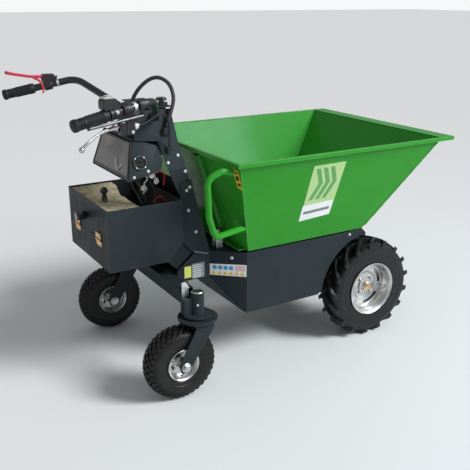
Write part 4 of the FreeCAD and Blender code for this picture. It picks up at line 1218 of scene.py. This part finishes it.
def loom():
    """Wires between the console's underside and the battery, with tape wraps and a red lead."""
    under = console_low.z
    runs = [
        (RED_WIRE, 0.0026, [(-0.405, -0.128, 0.772), (-0.392, -0.134, 0.752), (-0.372, -0.138, 0.757),
                            (-0.352, -0.132, 0.742), (-0.346, -0.110, 0.700)]),
        (RED_WIRE, 0.0024, [(-0.382, -0.100, 0.640), (-0.364, -0.112, 0.662), (-0.346, -0.118, 0.650),
                            (-0.332, -0.108, 0.628)]),
        (BLACK, 0.0032, [(-0.430, -0.060, under + 0.004), (-0.440, -0.056, 0.706),
                         (-0.428, -0.064, 0.672), (-0.412, -0.074, 0.630)]),
        (BLACK, 0.0046, [(-0.420, -0.030, under + 0.006), (-0.412, -0.036, 0.700),
                         (-0.392, -0.044, 0.665), (-0.385, -0.050, 0.624)]),
        (BLACK, 0.0038, [(-0.400, -0.080, under + 0.010), (-0.388, -0.092, 0.716),
                         (-0.372, -0.098, 0.676), (-0.366, -0.100, 0.630)]),
        (BLACK, 0.0052, [(-0.395, 0.020, under + 0.010), (-0.382, 0.024, 0.700),
                         (-0.370, 0.026, 0.626)]),
        (WHITE, 0.0022, [(-0.415, -0.092, 0.752), (-0.404, -0.104, 0.728), (-0.410, -0.090, 0.706),
                         (-0.398, -0.084, 0.686), (-0.408, -0.072, 0.668)]),
        (WHITE, 0.0018, [(-0.404, -0.110, 0.758), (-0.386, -0.120, 0.742), (-0.376, -0.112, 0.720)]),
    ]
    for k, (look, radius, route) in enumerate(runs):
        bm = bmesh.new()
        swept(bm, smooth_path(route, 8), lambda t, r=radius: oval(r, r, 10))
        piece("loom_wire_%d" % k, bm, look, "chassis")
    bm = bmesh.new()
    for at, size in (((-0.392, -0.122, 0.742), 0.011), ((-0.410, -0.086, 0.690), 0.009),
                     ((-0.372, -0.112, 0.716), 0.010)):
        corners = [(size, -0.3 * size), (0.4 * size, 1.3 * size), (-0.8 * size, 0.9 * size),
                   (-1.1 * size, -0.5 * size), (-0.1 * size, -1.2 * size)]
        prism(bm, [Vector(at) + Vector((x, 0, z)) for x, z in corners], (0, 0.006, 0))
    piece("loom_tape", bm, WHITE, "chassis", bevel=0.0015)


loom()


def ball_knobs():
    """The gear selector: a ball knob on a stalk, with a smaller ball round its eye."""
    at = joint_at("selector_tilt")
    bm = bmesh.new()
    turned(bm, at - Y * 0.008, Y, [(0, 0.0041), (0, 0.0088), (0.016, 0.0088), (0.016, 0.0041)], 24,
           closed=True)
    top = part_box("selector_lever")[1].z
    turned(bm, at + Z * 0.006, Z, [(0, 0), (0, 0.0046), (0.02, 0.0046), (0.02, 0)], 20)
    sphere(bm, Vector((at.x, at.y, top - 0.014)), 0.0139)
    sphere(bm, at + Z * 0.0105, 0.0096)
    piece("selector_lever", bm, BALL, "selector", ["selector_lever"], angle=40)


ball_knobs()


# ---- details on the hopper, chassis and posts -------------------------------------------------------

hopper_low, hopper_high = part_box("hopper_shell")
rim_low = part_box("hopper_rim")[0]
FLOOR_REAR, FLOOR_FRONT, FLOOR_HALF = -0.097, 0.433, 0.271


def wall_point(share_along, level, lift=0.0):
    """A point on the hopper's right outer wall: 0 at its rear edge, 1 at its front edge."""
    rise = (level - hopper_low.z) / (hopper_high.z - hopper_low.z)
    half = FLOOR_HALF + (abs(hopper_low.y) - FLOOR_HALF) * rise
    rear = FLOOR_REAR + (hopper_low.x - FLOOR_REAR) * rise
    front = FLOOR_FRONT + (hopper_high.x - FLOOR_FRONT) * rise
    tilt = math.atan2(abs(hopper_low.y) - FLOOR_HALF, hopper_high.z - hopper_low.z)
    return Vector((rear + (front - rear) * share_along, -half - lift * math.cos(tilt),
                   level - lift * math.sin(tilt)))


def wall_at(x, level, lift=0.0):
    """The same wall at a place along X."""
    rear = wall_point(0, level).x
    front = wall_point(1, level).x
    return wall_point((x - rear) / (front - rear), level, lift)


def sticker(name, corners, lift, look, body):
    """A vinyl patch with real thickness, given by corners that already lie just off its wall."""
    bm = bmesh.new()
    prism(bm, corners, lift)
    piece(name, bm, look, body, smooth=False)


def hopper_decal():
    """A pale green slanted panel with a plain chevron and a white band under it."""
    outward = wall_at(0.15, 0.66, 0.0003) - wall_at(0.15, 0.66)
    low_left, low_right = (0.099, 0.552), (0.234, 0.561)
    top_left, top_right = (0.098, 0.768), (0.239, 0.770)

    def spot(u, v, lift):
        x = (low_left[0] * (1 - u) + low_right[0] * u) * (1 - v) \
            + (top_left[0] * (1 - u) + top_right[0] * u) * v
        z = (low_left[1] * (1 - u) + low_right[1] * u) * (1 - v) \
            + (top_left[1] * (1 - u) + top_right[1] * u) * v
        return wall_at(x, z, lift)

    def patch(name, outline, lift, ink):
        sticker(name, [spot(u, v, lift) for u, v in outline], outward, ink, "hopper")

    patch("decal_ground", [(0, 0), (1, 0), (1, 1), (0, 1)], 0.0004, INK["pale_green"])
    patch("decal_band", [(-0.02, -0.02), (0.98, -0.02), (0.98, 0.27), (-0.02, 0.27)], 0.0008,
          INK["white"])
    for k in range(3):
        u = 0.10 + 0.22 * k
        patch("decal_chevron_%d" % k, [(u, 0.36), (u + 0.13, 0.36), (u + 0.33, 0.66),
                                       (u + 0.13, 0.94), (u, 0.94), (u + 0.20, 0.66)],
              0.0008, INK["mid_green"])
    patch("decal_rule", [(0.06, 0.10), (0.90, 0.10), (0.90, 0.155), (0.06, 0.155)], 0.0012,
          INK["grey"])


def hopper_details():
    behind = -X

    def on_rear(y, z, lift):
        return Vector((wall_point(0, z).x, y, z)) + behind * lift

    label = [(-0.372, 0.786), (-0.340, 0.790), (-0.335, 0.719), (-0.366, 0.715)]
    sticker("handle_label", [on_rear(y, z, 0.0008) for y, z in label], behind * 0.0004,
            INK["yellow"], "hopper")
    for k, (z0, z1) in enumerate(((0.772, 0.778), (0.748, 0.764), (0.728, 0.738))):
        mark = [(-0.365, z1), (-0.346, z1), (-0.342, z0), (-0.361, z0)]
        sticker("handle_label_mark_%d" % k, [on_rear(y, z, 0.0014) for y, z in mark],
                behind * 0.0003, INK["black"], "hopper")

    bm = bmesh.new()
    levels = [0.51, 0.585, 0.66, 0.735, 0.79]
    path = []
    for level in levels:
        edge = wall_point(0, level)
        path.append(Vector((edge.x - 0.006, -0.1, level)))
    swept(bm, path, lambda t: [(-0.016, -0.0055), (0.016, -0.0055), (0.013, 0.0055), (-0.013, 0.0055)],
          Y)
    piece("rear_stiffener", bm, GREEN, "hopper", bevel=0.001)

    bm = bmesh.new()
    for along in (0, 1):
        beads = [wall_point(along, hopper_low.z + (rim_low.z - hopper_low.z) * k / 30, 0.0)
                 for k in range(1, 31)]
        for k, at in enumerate(beads):
            beads[k] = at + Vector((0.0003 * math.sin(k * 2.1), -0.0004, 0))
        swept(bm, beads, lambda t: oval(0.0022 + 0.0004 * math.sin(60 * t), 0.0019, 8))
    piece("corner_welds", bm, GREEN, "hopper")


hopper_decal()
hopper_details()


tail_low, tail_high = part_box("tail_panels")
TAIL_REAR = Vector((tail_low.x, -0.175, 0))
TAIL_ALONG = (Vector((tail_high.x, -0.264, 0)) - TAIL_REAR).normalized()
TAIL_OUT = Vector((TAIL_ALONG.y, -TAIL_ALONG.x, 0)).normalized()


def on_tail(u, z, lift):
    """A point on the right tail panel, measured from its rear edge."""
    return TAIL_REAR + TAIL_ALONG * u + TAIL_OUT * lift + Z * z


def tail_patch(name, outline, lift, ink):
    sticker(name, [on_tail(u, z, lift) for u, z in outline], TAIL_OUT * 0.0003, ink, "chassis")


def chassis_details():
    """A pictogram label without words and two bolts on the slanted tail panels."""
    tail_patch("safety_label", [(0.0, 0.358), (0.135, 0.358), (0.135, 0.404), (0.0, 0.401)],
               0.0004, INK["white"])
    bm = bmesh.new()
    for k in range(4):
        pellet(bm, on_tail(0.018 + 0.0200 * k, 0.3885, 0.0007), TAIL_OUT, 0.0082, 0.0003)
    piece("safety_label_discs", bm, INK["blue"], "chassis", smooth=False)
    tail_patch("safety_label_block", [(0.094, 0.380), (0.130, 0.380), (0.130, 0.399), (0.094, 0.399)],
               0.0007, INK["pink"])
    bm = bmesh.new()
    for k in range(6):
        u = 0.014 + 0.0212 * k
        prism(bm, [on_tail(u - 0.0088, 0.3615, 0.0007), on_tail(u + 0.0088, 0.3615, 0.0007),
                   on_tail(u, 0.3765, 0.0007)], TAIL_OUT * 0.0003)
    piece("safety_label_triangles", bm, INK["yellow"], "chassis", smooth=False)
    bm = bmesh.new()
    dome_bolt(bm, on_tail(0.081, 0.428, 0), TAIL_OUT, 0.0052, 0.0038)
    for side in (-1, 1):
        dome_bolt(bm, Vector((0.376, side * 0.2642, 0.438)), Y * side, 0.0045, 0.0035)
    piece("chassis_bolts", bm, BOLT, "chassis")
    # A black disc on the tail panel: painted shade standing for a hole.
    bm = bmesh.new()
    pellet(bm, on_tail(0.060, 0.414, 0.0001), TAIL_OUT, 0.0052, 0.0003, 20)
    piece("tail_hole_painted_shade", bm, BLACK, "chassis", smooth=False)


chassis_details()


def base_label():
    """The rating plate and its lime square on the column's base, without lettering."""
    face = -0.175
    bm = bmesh.new()
    brick(bm, (-0.305, face - 0.0006, 0.364), (-0.278, face - 0.0002, 0.407))
    piece("base_label_square", bm, INK["lime"], "chassis", smooth=False)
    bm = bmesh.new()
    brick(bm, (-0.275, face - 0.0006, 0.356), (-0.224, face - 0.0002, 0.413))
    piece("base_label_plate", bm, INK["grey"], "chassis", smooth=False)
    bm = bmesh.new()
    for k in range(7):
        z = 0.361 + 0.0072 * k
        brick(bm, (-0.272, face - 0.0009, z), (-0.272 + 0.034 + 0.008 * (k % 2), face - 0.0006,
                                              z + 0.0022))
    piece("base_label_rules", bm, INK["white"], "chassis", smooth=False)
    # Weld beads along the strut in pale paint: their pale colour is a painted highlight.
    bm = bmesh.new()
    beads = 9
    start, end = Vector((-0.265, face - 0.0012, 0.460)), Vector((-0.208, face - 0.0012, 0.441))
    for k in range(beads):
        sphere(bm, start.lerp(end, (k + 0.5) / beads), 0.0019)
    piece("strut_weld_highlight", bm, BOLT, "chassis")


base_label()


def post_details():
    """Domed caps, grease nipples and washers on the castor posts."""
    low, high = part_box("post_caps")
    bm = bmesh.new()
    nipple = bmesh.new()
    for side in (-1, 1):
        swivel = joint_at("castor_swivel_right")
        centre = Vector((swivel.x, side * abs(swivel.y), low.z))
        radius = 0.0225
        crown = rounded((0.0068, 0.0), (0.0015, radius - 0.001), 6)[::-1]
        turned(bm, centre, Z, [(0, 0), (0, radius - 0.0012)] + crown, 40)
        spot = centre + Vector((-0.010, side * 0.0205, -0.040))
        dome_bolt(nipple, spot, Vector((-0.4, side, 0)), 0.0032, 0.0045)
    piece("post_caps", bm, STEEL, "chassis", ["post_caps"])
    piece("grease_nipples", nipple, BOLT, "chassis")
    bm = bmesh.new()
    plate_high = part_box("castor_posts")[1]
    for side in (-1, 1):
        x0, x1 = joint_at("castor_swivel_right").x - 0.0465, joint_at("castor_swivel_right").x - 0.0195
        face = side * (0.291 + 0.0031)
        prism(bm, [(x0, face, 0.352), (x1, face, 0.352), (x1, face, plate_high.z - 0.018),
                   (x1 - 0.012, face, plate_high.z), (x0, face, plate_high.z)], (0, side * 0.0012, 0))
    piece("zinc_end_plates", bm, ZINC, "chassis", bevel=0.0004)


post_details()


def flap_knob():
    """The black knob on the flap: a plain cylinder with rounded rims on a short neck."""
    low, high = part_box("flap_knob")
    centre = Vector((high.x, (low.y + high.y) / 2, (low.z + high.z) / 2))
    bm = bmesh.new()
    reach = high.x - low.x
    radius = (high.z - low.z) / 2
    profile = [(0, 0), (0, 0.0105), (0.007, 0.0105)]
    profile += rounded((0.007, radius - 0.0012), (0.0085, radius), 3)
    profile += rounded((reach, radius - 0.004), (reach - 0.004, radius), 5)[::-1]
    profile += [(reach, 0)]
    turned(bm, centre, -X, profile, 40)
    piece("flap_knob", bm, BALL, "flap", ["flap_knob"])


flap_knob()


def stop_dome():
    """The dome button with its threaded collar."""
    low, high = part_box("stop_button")
    centre = (low + high) / 2
    bm = bmesh.new()
    profile = [(0, 0), (0, 0.0088), (0.0085, 0.0088), (0.0085, 0.0175), (0.010, 0.0187),
               (0.014, 0.0187)]
    profile += rounded((high.z - low.z, 0.0), (0.0145, 0.0186), 6)[::-1]
    turned(bm, Vector((centre.x, centre.y, low.z)), Z, profile, 40)
    piece("stop_button", bm, BALL, "stop", ["stop_button"])


stop_dome()


# ---- stage, light and camera ---------------------------------------------------------------------

FLOOR_REACH = 60
SUN_TRAVELS = (-0.52, 0.56, -0.64)
CAMERA_AT = (-1.356, -2.246, 1.318)
CAMERA_TURNS = (-31.34, 71.18, 0.23)
CAMERA_LENS = 53.61


def stage():
    """The pale studio floor."""
    bm = bmesh.new()
    corners = [(-1, -1), (1, -1), (1, 1), (-1, 1)]
    prism(bm, [(FLOOR_REACH * x, FLOOR_REACH * y, -0.04) for x, y in corners], (0, 0, 0.04))
    mesh = bpy.data.meshes.new("studio_floor")
    bm.to_mesh(mesh)
    bm.free()
    floor = bpy.data.objects.new("studio_floor", mesh)
    bpy.context.scene.collection.objects.link(floor)
    look = Look("studio_floor", (0.78, 0.78, 0.78), 0.9, specular=0.1)
    mesh.materials.append(look.material)


def area_light(name, at, towards, width, height, power, colour=(1, 1, 1)):
    light = bpy.data.lights.new(name, "AREA")
    light.shape = "RECTANGLE"
    light.size = width
    light.size_y = height
    light.energy = power
    light.color = colour
    made = bpy.data.objects.new(name, light)
    made.location = at
    made.rotation_euler = (Vector(towards) - Vector(at)).to_track_quat("-Z", "Y").to_euler()
    bpy.context.scene.collection.objects.link(made)


def lighting():
    """Even sky light with a pale backdrop behind it, a soft sun and one cool softbox."""
    world = bpy.data.worlds.new("studio")
    bpy.context.scene.world = world
    world.use_nodes = True
    tree = world.node_tree
    soft = tree.nodes["Background"]
    soft.inputs["Color"].default_value = (0.92, 0.96, 1.0, 1)
    soft.inputs["Strength"].default_value = 0.40
    sweep = tree.nodes.new("ShaderNodeBackground")
    sweep.inputs["Color"].default_value = (0.93, 0.935, 0.94, 1)
    either = tree.nodes.new("ShaderNodeMixShader")
    ray = tree.nodes.new("ShaderNodeLightPath")
    tree.links.new(ray.outputs["Is Camera Ray"], either.inputs["Fac"])
    tree.links.new(soft.outputs["Background"], either.inputs[1])
    tree.links.new(sweep.outputs["Background"], either.inputs[2])
    tree.links.new(either.outputs["Shader"], tree.nodes["World Output"].inputs["Surface"])
    sun = bpy.data.lights.new("sun", "SUN")
    sun.energy = 2.45
    sun.angle = math.radians(22)
    made = bpy.data.objects.new("sun", sun)
    made.rotation_euler = Vector(SUN_TRAVELS).to_track_quat("-Z", "Y").to_euler()
    bpy.context.scene.collection.objects.link(made)
    area_light("front_softbox", (1.66, -2.30, 2.12), (0.2, 0.39, 0.79), 0.8, 0.9, 34,
               (0.74, 0.90, 1.0))


def camera():
    """The photograph's viewpoint: found by fitting a pinhole camera to the machine."""
    lens = bpy.data.cameras.new("camera")
    lens.lens = CAMERA_LENS
    lens.sensor_width = 36.0
    made = bpy.data.objects.new("camera", lens)
    made.location = CAMERA_AT
    heading, pitch, roll = [math.radians(angle) for angle in CAMERA_TURNS]
    turn = Matrix.Rotation(heading, 4, "Z") @ Matrix.Rotation(pitch, 4, "X")
    made.rotation_euler = (turn @ Matrix.Rotation(roll, 4, "Z")).to_euler()
    bpy.context.scene.collection.objects.link(made)
    bpy.context.scene.camera = made


stage()
lighting()
camera()
bpy.context.scene.view_settings.view_transform = "Standard"

bpy.context.view_layer.update()
